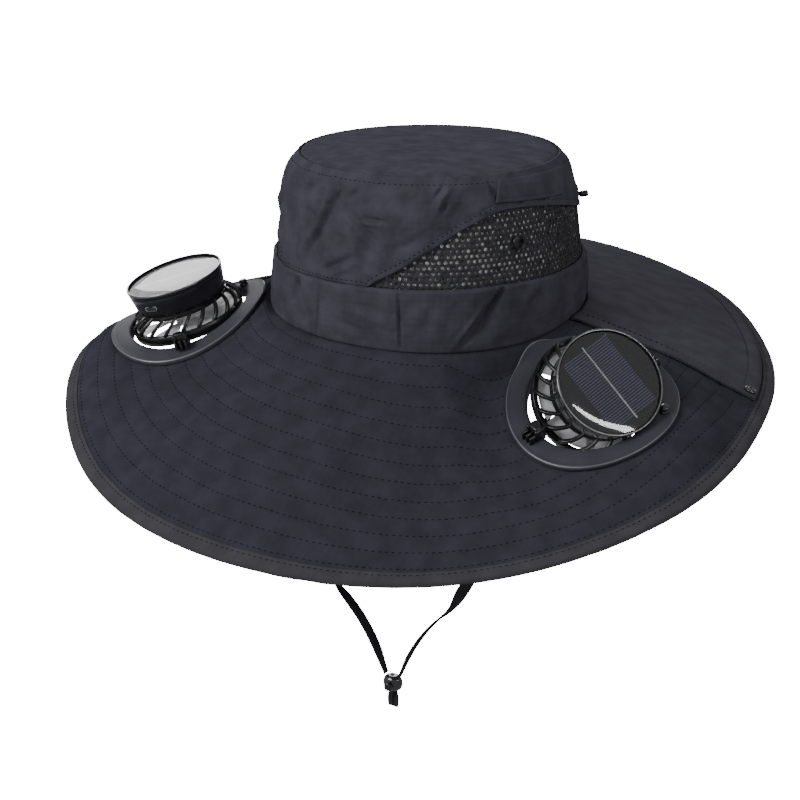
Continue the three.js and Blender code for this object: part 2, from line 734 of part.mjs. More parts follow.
function flange(seat) {
  const middle = mix(OPENING_RADIUS, FLANGE_RADIUS, 0.5);
  const lip = OPENING_RADIUS + LIP_WALL;
  const rows = [
    { away: OPENING_RADIUS, up: -LIP_DEPTH },
    { away: OPENING_RADIUS, up: 0.2 * FLANGE_PLATE },
    { away: OPENING_RADIUS + FLANGE_PLATE, up: FLANGE_PLATE },
    { away: middle, up: FLANGE_PLATE },
    { away: FLANGE_RADIUS - 2, up: FLANGE_PLATE },
    { away: FLANGE_RADIUS, up: 0.4 * FLANGE_PLATE },
    { away: FLANGE_RADIUS, up: 0 },
    { away: middle, up: 0 },
    { away: lip, up: 0 },
    { away: lip, up: -LIP_DEPTH },
  ];
  return flangeRing(seat, rows);
}

// A ring of seat points from the rows of its section
function flangeRing(seat, rows) {
  const section = (around) => rows.map(({ away, up }) => seatPoint(seat, away, around * 2 * Math.PI, up));
  return ring(FLANGE_STEPS, section);
}

// The hole in the cloth that the flange's lip goes through
function lipPlug(seat) {
  const away = OPENING_RADIUS + LIP_WALL + SEAM_GAP;
  const reach = 4 * LIP_DEPTH;
  return flangeRing(seat, [
    { away: 0, up: reach }, { away, up: reach }, { away, up: -reach }, { away: 0, up: -reach },
  ]);
}

function hingeBlock(seat, end) {
  const middle = end * (BLOCK_START + BLOCK_LENGTH / 2);
  const body = new THREE.BoxGeometry(BLOCK_WIDTH, BLOCK_LENGTH, BLOCK_TOP + SHAFT_DEPTH);
  body.translate(0, middle, (BLOCK_TOP - SHAFT_DEPTH) / 2);
  const boreRadius = PIN_RADIUS + BORE_CLEARANCE;
  const bore = new THREE.CylinderGeometry(boreRadius, boreRadius, BLOCK_LENGTH, 10);
  bore.translate(0, middle - end * PIN_RADIUS, 0);
  const frame = unitFrame(seat, 0);
  const block = tidyMesh(body).applyMatrix4(frame);
  const under = underFlange(seat);
  return cut(block, tidyMesh(bore).applyMatrix4(frame), under);
}

// Everything from just above the flange down, to trim what stands on it
function underFlange(seat) {
  const normal = seatNormal(seat);
  const point = (up) => (across, along) => {
    const span = 1.1 * FLANGE_RADIUS;
    const x = seat.middle[0] + span * (2 * across - 1);
    const y = seat.middle[1] + span * (2 * along - 1);
    return new THREE.Vector3(x, y, brimHeight(x, y) + SEAT_GAP).addScaledVector(normal, up).toArray();
  };
  return shell(TRIM_STEPS, TRIM_STEPS, false, point(FLANGE_PLATE + 1.5 * SEAM_GAP), point(-TRIM_DEPTH));
}

function knob(seat) {
  const body = new THREE.CylinderGeometry(KNOB_RADIUS * 0.9, KNOB_RADIUS, SHAFT_DEPTH, 12);
  body.rotateX(Math.PI / 2);
  const [x, y] = [Math.cos(KNOB_TURN * DEGREE), Math.sin(KNOB_TURN * DEGREE)];
  body.translate(KNOB_DISTANCE * x, KNOB_DISTANCE * y, 0);
  const frame = unitFrame(seat, 0);
  const at = new THREE.Vector3(KNOB_DISTANCE * x, KNOB_DISTANCE * y, 0).applyMatrix4(frame);
  const normal = seatNormal(seat);
  const ground = (brimHeight(at.x, at.y) + SEAT_GAP - at.z) * normal.z + FLANGE_PLATE;
  body.translate(0, 0, ground + KNOB_HEIGHT - SHAFT_DEPTH / 2);
  return cut(tidyMesh(body).applyMatrix4(frame), underFlange(seat));
}

// Parts of the tilting unit, about its own frame

const CAGE_SIDES = 20;

function cage() {
  const hoop = (radius, width, low, high) => {
    const inner = radius - width;
    return turned([[inner, low], [radius, low], [radius, high], [inner, high], [inner, low]], CAGE_SIDES);
  };
  const neckTop = HEAD_BASE - SEAM_GAP;
  const base = hoop(RING_RADIUS, RING_WIDTH, RING_TOP - RING_HEIGHT, RING_TOP);
  const neck = hoop(NECK_RADIUS, NECK_WIDTH, neckTop - NECK_HEIGHT, neckTop);
  const ribs = Array.from({ length: RIB_COUNT }, (_, i) => rib((i * 360) / RIB_COUNT));
  const pins = [1, -1].map((end) => {
    const start = RING_RADIUS - RING_WIDTH / 2;
    const pin = new THREE.CylinderGeometry(PIN_RADIUS, PIN_RADIUS, PIN_REACH - start, 10);
    return tidyMesh(pin.translate(0, (end * (PIN_REACH + start)) / 2, 0));
  });
  return join(base, neck, ...ribs, ...pins);
}

// One rib, arched outwards and slanted from its foot on the base ring to the top ring
function rib(start) {
  const steps = 2;
  const [footRadius, headRadius] = [RING_RADIUS - RING_WIDTH / 2, NECK_RADIUS - NECK_WIDTH / 2];
  const [foot, head] = [RING_TOP - 0.6, HEAD_BASE - SEAM_GAP - NECK_HEIGHT + 0.6];
  const half = RIB_WIDTH / 2;
  const skin = (depth) => (across, up) => {
    const radius = mix(footRadius, headRadius, up ** 1.7) + depth;
    const angle = start * DEGREE + RIB_SLANT * DEGREE * up + ((across - 0.5) * RIB_WIDTH) / radius;
    return [radius * Math.cos(angle), radius * Math.sin(angle), mix(foot, head, up)];
  };
  return shell(1, steps, false, skin(half), skin(-half));
}

const HEAD_SIDES = 28;

function head() {
  const top = HEAD_BASE + HEAD_HEIGHT;
  const recess = CELL_THICK + COVER_THICK + 2 * SEAM_GAP;
  const boss = HEAD_BASE - BOSS_DROP;
  const body = turned([
    [0, boss], [BOSS_RADIUS, boss], [BOSS_RADIUS, HEAD_BASE], [HEAD_FOOT, HEAD_BASE],
    [HEAD_RADIUS, top - 1.6], [HEAD_RADIUS - 0.5, top],
    [HEAD_RADIUS - HEAD_RIM, top], [HEAD_RADIUS - HEAD_RIM, top - recess], [0, top - recess],
  ], HEAD_SIDES);
  const pocket = portShape(SEAM_GAP, PORT_DEPTH + SEAM_GAP + 4);
  return cut(body, pocket);
}

// A round-ended bar that points out of the housing's side
function portShape(grow, depth) {
  const [long, tall] = [PORT_WIDTH + 2 * grow, PORT_HEIGHT + 2 * grow];
  const straight = (long - tall) / 2;
  const outline = new THREE.Shape();
  outline.moveTo(-straight, -tall / 2);
  outline.lineTo(straight, -tall / 2);
  outline.absarc(straight, 0, tall / 2, -Math.PI / 2, Math.PI / 2, false);
  outline.lineTo(-straight, tall / 2);
  outline.absarc(-straight, 0, tall / 2, Math.PI / 2, (3 * Math.PI) / 2, false);
  const bar = new THREE.ExtrudeGeometry(outline, { depth, bevelEnabled: false, curveSegments: 4 });
  const inner = housingRadius(PORT_LEVEL) - PORT_DEPTH - grow;
  bar.rotateX(Math.PI / 2).rotateZ(Math.PI).translate(0, inner, PORT_LEVEL);
  return tidyMesh(bar.rotateZ((PORT_TURN - 90) * DEGREE));
}

function housingRadius(level) {
  const share = (level - HEAD_BASE) / HEAD_HEIGHT;
  return mix(HEAD_FOOT, HEAD_RADIUS, share);
}

function port() {
  const bar = portShape(0, PORT_DEPTH + 0.2);
  const slot = new THREE.BoxGeometry(PORT_WIDTH * 0.66, PORT_DEPTH, PORT_HEIGHT * 0.36);
  slot.translate(0, housingRadius(PORT_LEVEL), PORT_LEVEL);
  return cut(bar, tidyMesh(slot.rotateZ((PORT_TURN - 90) * DEGREE)));
}

function cover() {
  const top = HEAD_BASE + HEAD_HEIGHT - 0.2;
  const radius = HEAD_RADIUS - HEAD_RIM - SEAM_GAP;
  return turned([[0, top - COVER_THICK], [radius, top - COVER_THICK], [radius, top], [0, top]], HEAD_SIDES);
}

function solarCell() {
  const floor = HEAD_BASE + HEAD_HEIGHT - CELL_THICK - COVER_THICK - 2 * SEAM_GAP;
  const sheet = new THREE.BoxGeometry(CELL_LENGTH, CELL_WIDTH, CELL_THICK - SEAM_GAP / 2);
  return tidyMesh(sheet.translate(0, 0, floor + SEAM_GAP + CELL_THICK / 2 - SEAM_GAP / 4));
}

// Hub and broad blades, each steep at its tip
function impeller() {
  const top = HEAD_BASE - BOSS_DROP - SEAM_GAP;
  const low = top - HUB_HEIGHT;
  const hub = turned(
    [[0, low], [HUB_RADIUS, low], [HUB_RADIUS, top - 1], [HUB_RADIUS - 1, top], [0, top]], 16);
  const blades = Array.from({ length: BLADE_COUNT }, (_, i) => blade((i * 360) / BLADE_COUNT, low + 0.5));
  return join(hub, ...blades);
}

function blade(start, low) {
  const root = HUB_RADIUS - 1.5;
  const skin = (lift) => (along, outward) => {
    const radius = mix(root, BLADE_RADIUS, outward);
    const angle = (start + BLADE_SWEEP * (along - 0.5) + 10 * outward) * DEGREE;
    const height = low + (BLADE_HEIGHT - BLADE_THICK) * mix(0.5, along, mix(0.6, 1, outward)) + lift;
    return [radius * Math.cos(angle), radius * Math.sin(angle), height];
  };
  return shell(2, 2, false, skin(BLADE_THICK), skin(0));
}

// Chin strap

function strapHalf(side) {
  const route = STRAP_ROUTE.map(([x, y, z]) => new THREE.Vector3(side * x, y, z));
  route[0].z = seamHeight(90 * side) - BRIM_CLOTH - 3 * SEAM_GAP;
  const curve = new THREE.CatmullRomCurve3(route);
  const [wide, thin] = [STRAP_WIDTH / 2, STRAP_THICK / 2];
  const outline = new THREE.Shape([
    [wide * 0.8, thin], [wide, thin * 0.5], [wide, -thin * 0.5], [wide * 0.8, -thin],
    [-wide * 0.8, -thin], [-wide, -thin * 0.5], [-wide, thin * 0.5], [-wide * 0.8, thin],
  ].map(([x, y]) => new THREE.Vector2(x, y)));
  const options = { steps: STRAP_STEPS, extrudePath: curve, bevelEnabled: false };
  return tidyMesh(new THREE.ExtrudeGeometry(outline, options));
}

function strapTail() {
  const [wide, thin] = [TAIL_WIDTH / 2, TAIL_THICK / 2];
  const outline = [[0, 0], [thin * 0.7, 0], [thin, TAIL_LENGTH * 0.2], [thin, TAIL_LENGTH * 0.8],
    [thin * 0.6, TAIL_LENGTH], [0, TAIL_LENGTH]];
  const tail = turned(outline, 10);
  tail.scale(wide / thin, 1, -1);
  const below = LOCK_PLACE[2] - LOCK_HEIGHT / 2 - SEAM_GAP;
  return tidyMesh(tail.translate(LOCK_PLACE[0], LOCK_PLACE[1], below));
}

function cordLock() {
  const half = LOCK_HEIGHT / 2;
  const body = turned([[0, -half], [LOCK_RADIUS * 0.6, -half], [LOCK_RADIUS, -half * 0.45],
    [LOCK_RADIUS, half * 0.45], [LOCK_RADIUS * 0.6, half], [0, half]], 16);
  return body.scale(1, 0.8, 1).translate(...LOCK_PLACE);
}

function lockButton() {
  const button = new THREE.CylinderGeometry(BUTTON_RADIUS, BUTTON_RADIUS, BUTTON_REACH, 12);
  const front = LOCK_PLACE[1] - LOCK_RADIUS * 0.8 - SEAM_GAP - BUTTON_REACH / 2;
  return tidyMesh(button.translate(LOCK_PLACE[0], front, LOCK_PLACE[2]));
}

// The hat

const group = new THREE.Group();

group.add(named('crown_top', crownTop(), clothCrown));
group.add(named('crown_side', crownSide(), clothCrown));
group.add(named('crown_band', crownBand(), clothCrown));
group.add(named('side_patch', sidePatch(), clothCrown));
group.add(named('brim', brim(), clothBrim));
group.add(named('brim_binding', brimBinding(), clothBrim));
group.add(named('neck_flap', neckFlap(), clothBrim));

for (const [name, side] of [['left', 1], ['right', -1]]) {
  group.add(named(`mesh_${name}`, netPanel(name), clothCrown));
  const eyelet = washer(EYELET_RADIUS, EYELET_BORE, EYELET_THICK);
  const lift = 2 * SEAM_GAP;
  group.add(crownFitting(`eyelet_${name}`, eyelet, glossPlastic, EYELET_TURN[name], EYELET_HEIGHT, lift));
  group.add(flapSnap(`snap_${name}`, side));
  group.add(named(`strap_${name}`, strapHalf(side), webbing));
}

const toggle = turned(
  [[0, 0], [TOGGLE_RADIUS, 0.8], [TOGGLE_RADIUS, TOGGLE_LENGTH - 0.8], [0, TOGGLE_LENGTH]], 10);
const toggleHeight = TOGGLE_SHARE * CROWN_HEIGHT;
group.add(crownFitting('rear_toggle', toggle, webbing, TOGGLE_TURN, toggleHeight, SEAM_GAP));
group.add(named('strap_tail', strapTail(), webbing));
group.add(named('cord_lock', cordLock(), glossPlastic));
group.add(named('lock_button', lockButton(), glossPlastic));

for (const seat of seats) {
  const { side } = seat;
  group.add(named(`flange_${side}`, flange(seat), mattePlastic));
  group.add(named(`hinge_front_${side}`, hingeBlock(seat, 1), glossPlastic));
  group.add(named(`hinge_back_${side}`, hingeBlock(seat, -1), glossPlastic));
  group.add(named(`knob_${side}`, knob(seat), glossPlastic));
  const unit = new THREE.Group();
  unit.applyMatrix4(unitFrame(seat, seat.tilt));
  unit.add(named(`cage_${side}`, cage(), glossPlastic));
  unit.add(named(`head_${side}`, head(), glossPlastic));
  unit.add(named(`port_${side}`, port(), metal));
  unit.add(named(`solar_cell_${side}`, solarCell(), cellFace));
  unit.add(named(`cover_${side}`, cover(), clearCover));
  unit.add(named(`impeller_${side}`, impeller(), bladePlastic));
  group.add(unit);
}

export default group;
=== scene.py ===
"""Solar fan hat: a wide-brimmed cloth sun hat with two solar fans let into its brim.

Lengths here are millimetres until a mesh is made, which is in metres. The front faces -Y and the
wearer's left is +X. A turn is an angle round the hat in degrees, from the front towards the left.
"""
import math

import bpy
import numpy as np
from mathutils import Matrix, Vector, noise


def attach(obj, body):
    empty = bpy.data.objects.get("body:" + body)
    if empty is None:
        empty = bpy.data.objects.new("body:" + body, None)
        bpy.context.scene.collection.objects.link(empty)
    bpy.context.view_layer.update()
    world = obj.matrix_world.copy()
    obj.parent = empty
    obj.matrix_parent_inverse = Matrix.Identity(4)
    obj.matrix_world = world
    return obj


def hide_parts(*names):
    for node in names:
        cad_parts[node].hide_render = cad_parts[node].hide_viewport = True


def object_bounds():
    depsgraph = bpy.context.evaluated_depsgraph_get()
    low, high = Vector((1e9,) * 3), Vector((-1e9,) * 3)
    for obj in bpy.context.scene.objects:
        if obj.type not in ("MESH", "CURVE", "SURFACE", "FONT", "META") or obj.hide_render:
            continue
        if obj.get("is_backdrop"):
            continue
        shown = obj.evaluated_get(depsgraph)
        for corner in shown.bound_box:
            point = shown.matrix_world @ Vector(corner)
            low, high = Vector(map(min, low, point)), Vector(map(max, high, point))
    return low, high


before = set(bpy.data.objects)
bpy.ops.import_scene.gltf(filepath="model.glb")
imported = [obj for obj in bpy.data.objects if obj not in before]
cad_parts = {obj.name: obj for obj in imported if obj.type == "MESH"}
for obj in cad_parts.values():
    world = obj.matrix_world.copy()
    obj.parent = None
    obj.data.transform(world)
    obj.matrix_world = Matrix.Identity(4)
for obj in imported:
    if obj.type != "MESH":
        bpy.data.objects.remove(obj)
CAD_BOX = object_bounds()

MM = 0.001

# Sizes that the solids have too
SEAM_LENGTH = 182.8
SEAM_WIDTH = 180.2
CROWN_HEIGHT = 88.4
TOP_RISE = 2.2
BAND_HEIGHT = 31.5
BAND_PROUD = 0.8
SEAM_GAP = 0.3
BRIM_WIDTH = 130
BRIM_CLOTH = 2.4
BINDING_WIDTH = 7.5
FLAP_CLOTH = 1.2
FLAP_LIFT = 1.2
FLAP_FRONT = 86
FLAP_SWEEP = 3.5
FLANGE_RADIUS = 47.2
OPENING_RADIUS = 35.5
FLANGE_PLATE = 1.8
SEAT_GAP = 1.5
LIP_WALL = 1.5
PIVOT_LIFT = 2.6
RING_TOP = 1.4
RING_HEIGHT = 5.9
RIB_COUNT = 20
RIB_SLANT = 17
PIN_RADIUS = 1.2
PIN_REACH = 39.2
BLOCK_START = 34.6
BLOCK_LENGTH = 6.4
BLOCK_TOP = 4.2
KNOB_DISTANCE = 38.8
KNOB_TURN = 210
HEAD_RADIUS = 28.75
HEAD_FOOT = 26.3
HEAD_BASE = 11.1
HEAD_HEIGHT = 14.5
COVER_THICK = 0.8
CELL_LENGTH = 42
CELL_WIDTH = 31
CELL_THICK = 0.5
PORT_LEVEL = 17
PORT_TURN = 60.5
BOSS_DROP = 1.2
HUB_RADIUS = 8
HUB_HEIGHT = 14
BLADE_COUNT = 7
BLADE_RADIUS = 29.2
BLADE_THICK = 1.2
BLADE_HEIGHT = 5
BLADE_SWEEP = 50
EYELET_HEIGHT = 53.4
STRAP_WIDTH = 7
STRAP_THICK = 1.3
LOCK_PLACE = (0, -44.8, -233)
LOCK_RADIUS = 6.3
LOCK_HEIGHT = 10.5
TAIL_LENGTH = 11.5

# Crown outline: shares of the crown's height and of the seam's radius
CROWN_ROWS = [
    (0.0, 1.0), (0.2, 0.996), (0.4, 0.98), (0.55, 0.961), (0.7, 0.94), (0.83, 0.912),
    (0.94, 0.868), (1.0, 0.81),
]

# Dents that the solids have too: turn, height, wide, tall, lean, deep
DENT_ROWS = [
    (46, 0.19, 4.5, 0.17, 30, 0.035), (-20, 0.6, 5, 0.28, -16, 0.022), (2, 0.55, 6, 0.2, 20, 0.018),
    (38, 0.78, 5, 0.16, 30, 0.018), (62, 0.24, 5, 0.12, -20, 0.018), (95, 0.75, 6, 0.18, 15, 0.02),
    (-55, 0.5, 6, 0.3, 12, 0.02), (-100, 0.55, 8, 0.25, -15, 0.018), (140, 0.5, 8, 0.3, 14, 0.02),
    (185, 0.6, 7, 0.3, -12, 0.02),
]

# Brim: turn, width share, droop in degrees, belly, lift share
BRIM_ROWS = [
    (-180, 1.007, 6.5, 0.26, 0.01), (-150, 1.01, 10.0, 0.19, -0.003),
    (-120, 0.97, 18.2, 0.14, -0.015), (-90, 0.935, 17.5, 0.37, -0.01),
    (-60, 0.959, 17.6, 0.45, -0.002), (-30, 1.064, 28.5, 0.14, -0.005),
    (0, 1.084, 32.7, -0.02, -0.014), (30, 1.039, 34.8, -0.47, -0.032),
    (60, 1.046, 22.2, -0.29, -0.023), (90, 0.916, 17.3, 0.4, 0.028),
    (120, 0.868, 15.4, 0.4, 0.041), (150, 0.955, 10.8, 0.35, 0.024),
]

SEAT_FADE = 34
SEAT_MARGIN = 1.5
FAN_ROWS = [
    dict(side="left", turn=65, reach=0.381, fall=-0.267, rise=0.35, arch=0.109, dish=0.037,
         front=-1, tilt=-35),
    dict(side="right", turn=-62.5, reach=0.419, fall=-0.288, rise=-0.092, arch=0.166, dish=0.07,
         front=1, tilt=0),
]

# Upper edge of each net window: turns and shares of the crown's height
WINDOW_ROWS = {
    "left": [(5, 0.352), (9, 0.4), (18, 0.49), (27, 0.59), (36, 0.685), (44, 0.75), (53, 0.8),
             (65, 0.802), (80, 0.77), (100, 0.7), (125, 0.6), (148, 0.46), (156, 0.352)],
    "right": [(-158, 0.352), (-150, 0.46), (-128, 0.64), (-105, 0.76), (-85, 0.79), (-70, 0.74),
              (-58, 0.63), (-50, 0.53), (-42, 0.42), (-38, 0.352)],
}

PATCH_LOW = ((51, 0.85), (88, 0.815))
PATCH_HIGH = ((54, 0.975), (96, 0.965))

# Route of the left half of the chin strap, as the solids have it
STRAP_ROUTE = [
    (91.0, 0, -1.6), (89.6, -1.5, -14), (87.6, -4.5, -28), (84.8, -9.0, -44), (81.0, -14.6, -62),
    (76.2, -21.4, -82), (70.0, -29.2, -104), (62.4, -37.2, -126), (54.6, -43.4, -144),
    (49.2, -46.2, -154), (38.8, -46.8, -172), (28.6, -45.8, -184), (20.4, -45.1, -195),
    (11.9, -44.8, -210), (4.7, -44.8, -227.6),
]

# Sums


def smooth(value):
    t = np.clip(value, 0, 1)
    return t * t * (3 - 2 * t)


def mix(a, b, share):
    return a + (b - a) * share


def through(rows, column, places):
    """A smooth curve through one column of a table, read at places in its first column."""
    xs = np.array([row[0] for row in rows], float)
    ys = np.array([row[column] for row in rows], float)
    x = np.asarray(places, float)
    i = np.clip(np.searchsorted(xs, x, side="left") - 1, 0, len(xs) - 2)
    before = np.maximum(i - 1, 0)
    after = np.minimum(i + 2, len(xs) - 1)
    span = xs[i + 1] - xs[i]
    t = (x - xs[i]) / span
    leaving = (ys[i + 1] - ys[before]) / (xs[i + 1] - xs[before]) * span
    arriving = (ys[after] - ys[i]) / (xs[after] - xs[i]) * span
    rise = ys[i + 1] - ys[i]
    return ys[i] + t * (leaving + t * (3 * rise - 2 * leaving - arriving
                                       + t * (leaving + arriving - 2 * rise)))


def wrap(turn):
    return (np.asarray(turn, float) + 180) % 360 - 180


BRIM_CIRCLE = ([(row[0] - 360, *row[1:]) for row in BRIM_ROWS[-2:]] + BRIM_ROWS
               + [(row[0] + 360, *row[1:]) for row in BRIM_ROWS[:3]])
WIDTH, DROOP, BELLY, LIFT = 1, 2, 3, 4


def brim_at(turn, column):
    return through(BRIM_CIRCLE, column, wrap(turn))


def seam_radius(turn):
    angle = np.radians(turn)
    return 1 / np.hypot(np.sin(angle) / (SEAM_WIDTH / 2), np.cos(angle) / (SEAM_LENGTH / 2))


def seam_height(turn):
    return brim_at(turn, LIFT) * CROWN_HEIGHT


def place(turn, radius, height):
    angle = np.radians(turn)
    x = radius * np.sin(angle)
    return np.stack(np.broadcast_arrays(x, -radius * np.cos(angle), height), -1)


def unit(vector):
    vector = np.asarray(vector, float)
    return vector / np.linalg.norm(vector, axis=-1, keepdims=True)


# Crown surface


def dent_depth(turn, share):
    depth = 0.0
    for at, height, wide, tall, lean, deep in DENT_ROWS:
        off = wrap(turn - at - lean * (share - height)) / wide
        up = (share - height) / tall
        depth = depth + deep * np.exp(-off * off - up * up)
    return depth * smooth(share / 0.1) * smooth((1 - share) / 0.08)


def crown_point(turn, height, out=0.0):
    share = height / CROWN_HEIGHT
    shape = through(CROWN_ROWS, 1, np.maximum(share, 0))
    return place(turn, seam_radius(turn) * (shape - dent_depth(turn, share)) + out, height)


# Brim surface


def brim_run(turn):
    return BRIM_WIDTH * brim_at(turn, WIDTH) * np.cos(np.radians(brim_at(turn, DROOP)))


def open_brim_height(turn, share):
    fall = BRIM_WIDTH * brim_at(turn, WIDTH) * np.sin(np.radians(brim_at(turn, DROOP)))
    belly = brim_at(turn, BELLY)
    run = np.maximum(share, 0)
    return seam_height(turn) - fall * ((1 - belly) * run + belly * run * run)


def make_seat(row):
    seat = dict(row)
    turn = row["turn"]
    radius = seam_radius(turn) + row["reach"] * brim_run(turn)
    seat["middle"] = place(turn, radius, open_brim_height(turn, row["reach"]))
    seat["out"] = place(turn, 1.0, 0.0)
    seat["round"] = place(turn + 90, 1.0, 0.0)
    seat["out_share"] = math.cos(math.atan(row["fall"]))
    seat["round_share"] = math.cos(math.atan(row["rise"]))
    slope = row["fall"] * seat["out"] + row["rise"] * seat["round"]
    seat["normal"] = unit((-slope[0], -slope[1], 1))
    return seat


SEATS = [make_seat(row) for row in FAN_ROWS]


def seat_shift(seat, x, y):
    dx, dy = x - seat["middle"][0], y - seat["middle"][1]
    away = (dx * seat["out"][0] + dy * seat["out"][1]) / (seat["out_share"] * FLANGE_RADIUS)
    along = (dx * seat["round"][0] + dy * seat["round"][1]) / (seat["round_share"] * FLANGE_RADIUS)
    return away, along


def brim_height(x, y):
    turn = np.degrees(np.arctan2(x, -y))
    share = (np.hypot(x, y) - seam_radius(turn)) / brim_run(turn)
    height = open_brim_height(turn, share)
    for seat in SEATS:
        away, along = seat_shift(seat, x, y)
        beyond = (np.hypot(away, along) - 1) * FLANGE_RADIUS - SEAT_MARGIN
        weight = smooth(1 - beyond / SEAT_FADE) * smooth(share / 0.05) * smooth((1 - share) / 0.14)
        slope = (seat["fall"] * seat["out_share"] * away
                 + seat["rise"] * seat["round_share"] * along)
        lie = seat["middle"][2] + FLANGE_RADIUS * (slope + seat["dish"] * away ** 2
                                                   - seat["arch"] * along ** 2)
        height = mix(height, lie, weight)
    return height


def brim_point(turn, share, up=0.0):
    flat = place(turn, seam_radius(turn) + share * brim_run(turn), 0.0)
    flat[..., 2] = brim_height(flat[..., 0], flat[..., 1]) + up
    return flat


def binding_share(turn):
    return 1 - BINDING_WIDTH / (BRIM_WIDTH * brim_at(turn, WIDTH))


def unit_frame(seat, tilt):
    """The fan unit's own frame: z along the head's axis, y along the hinge to its front end."""
    up = seat["normal"]
    hinge = seat["round"] * seat["front"]
    hinge = unit(hinge - up * hinge.dot(up))
    side = np.cross(hinge, up)
    c, s = math.cos(math.radians(tilt)), math.sin(math.radians(tilt))
    turned_side = side * c - up * s
    axis = side * s + up * c
    return dict(x=turned_side, y=hinge, z=axis, at=seat["middle"] + up * PIVOT_LIFT)


def in_frame(frame_of, points):
    points = np.asarray(points, float)
    return (frame_of["at"] + points[..., :1] * frame_of["x"] + points[..., 1:2] * frame_of["y"]
            + points[..., 2:3] * frame_of["z"])


def seat_point(seat, away, angle, up):
    outward = away * np.cos(angle) * seat["out_share"]
    round_ = away * np.sin(angle) * seat["round_share"]
    x = seat["middle"][0] + outward * seat["out"][0] + round_ * seat["round"][0]
    y = seat["middle"][1] + outward * seat["out"][1] + round_ * seat["round"][1]
    ground = np.stack(np.broadcast_arrays(x, y, brim_height(x, y) + SEAT_GAP), -1)
    return ground + np.asarray(up)[..., None] * seat["normal"]


# Meshes


class Pile:
    """Points and faces that are gathered and then made into one object."""

    def __init__(self):
        self.points = []
        self.faces = []
        self.slots = []
        self.count = 0

    def add(self, points, faces, slot=0):
        points = np.asarray(points, float).reshape(-1, 3)
        faces = np.asarray(faces, int)
        self.points.append(points)
        self.faces.extend((faces + self.count).tolist())
        self.slots.extend([slot] * len(faces))
        self.count += len(points)

    def add_cap(self, ring, slot=0):
        """Closes a ring of points with triangles to its middle."""
        self.add(np.vstack([ring, ring.mean(0)]), fan_faces(len(ring)), slot)

    def paint(self, rows, columns, slot):
        """Gives rows of a grid of faces, which is first in the pile, another look."""
        for row in rows:
            self.slots[row * columns:(row + 1) * columns] = [slot] * columns

    def make(self, name, materials, body, nodes=(), sharp=None):
        mesh = bpy.data.meshes.new(name)
        mesh.from_pydata((np.concatenate(self.points) * MM).tolist(), [], self.faces)
        for material in materials:
            mesh.materials.append(material)
        mesh.polygons.foreach_set("material_index", self.slots)
        mesh.shade_smooth()
        if sharp:
            mesh.set_sharp_from_angle(angle=math.radians(sharp))
        mesh.update()
        piece = bpy.data.objects.new(name, mesh)
        bpy.context.scene.collection.objects.link(piece)
        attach(piece, body)
        if nodes:
            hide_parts(*nodes)
        return piece


def grid_faces(columns, rows, wrap_columns=False, wrap_rows=False):
    """Quads of a grid whose points run along its columns first."""
    width = columns if wrap_columns else columns - 1
    height = rows if wrap_rows else rows - 1
    i, j = np.meshgrid(np.arange(width), np.arange(height))
    i, j = i.ravel(), j.ravel()
    right = (i + 1) % columns
    over = (j + 1) % rows
    return np.stack([j * columns + i, j * columns + right, over * columns + right, over * columns + i], 1)


def fan_faces(count):
    """Triangles from a ring of points to the one that comes after them."""
    return np.array([(i, (i + 1) % count, count) for i in range(count)])


def shell_faces(columns, rows):
    """Faces of a sheet's two skins, its lower one in reverse rows, closed at the first and last column."""
    faces = grid_faces(columns, 2 * rows, wrap_rows=True).tolist()
    for column in (0, columns - 1):
        for j in range(rows - 1):
            a, b = j * columns + column, (j + 1) * columns + column
            c, d = (2 * rows - 2 - j) * columns + column, (2 * rows - 1 - j) * columns + column
            faces.append([a, b, c, d] if column else [b, a, d, c])
    return np.array(faces)


def lathe(profile, sides):
    """Points and faces of a turned form; a profile row is (radius, height)."""
    angles = np.arange(sides) * 2 * math.pi / sides
    rows = np.array(profile, float)
    x = rows[:, :1] * np.cos(angles)
    y = rows[:, :1] * np.sin(angles)
    z = np.broadcast_to(rows[:, 1:], x.shape)
    return np.stack([x, y, z], -1), grid_faces(sides, len(rows), wrap_columns=True)


def tube(path, side, out, section):
    """A section carried along a path. side and out are unit vectors at each point of the path."""
    section = np.asarray(section, float)
    points = (path[:, None] + section[None, :, :1] * side[:, None]
              + section[None, :, 1:] * out[:, None])
    return points, grid_faces(len(section), len(path), wrap_columns=True)


def round_corner(low, high, radius, steps=4):
    """Points of a rounded rectangle, from its low corner to its high one."""
    right, left = high[0] - radius, low[0] + radius
    top, bottom = high[1] - radius, low[1] + radius
    points = []
    for cx, cy, start in ((right, top, 0), (left, top, 90), (left, bottom, 180), (right, bottom, 270)):
        for k in range(steps + 1):
            angle = math.radians(start + 90 * k / steps)
            points.append((cx + radius * math.cos(angle), cy + radius * math.sin(angle)))
    return points


def rough(points, scale, octaves=3):
    """Noise at each point, about -1 to 1, with bumps of that size in millimetres."""
    flat = np.asarray(points).reshape(-1, 3) / scale
    values = [noise.fractal(Vector(p), 1.0, 2.0, octaves) for p in flat.tolist()]
    return np.array(values).reshape(np.asarray(points).shape[:-1])


def turned_piece(name, look, body, node, rows, sides, where, sharp=None):
    """A piece that is one turned form in a frame of its own."""
    points, faces = lathe(rows, sides)
    pile = Pile()
    pile.add(in_frame(where, points), faces)
    return pile.make(name, [look], body, [node], sharp)


def lain_over(points, end):
    """Points of a turned form with its axis laid along y, towards that end."""
    return np.stack([points[..., 0], end * points[..., 2], points[..., 1]], -1)


def rounded(share):
    """A quarter circle's rise: nought at nought and one from one on."""
    return np.sqrt(np.clip(1 - (1 - np.clip(share, 0, 1)) ** 2, 0, 1))


# Materials

# Height of the threads and of the plastic's texture, in millimetres
THREAD_RELIEF = 0.12
MOULD_RELIEF = 0.05


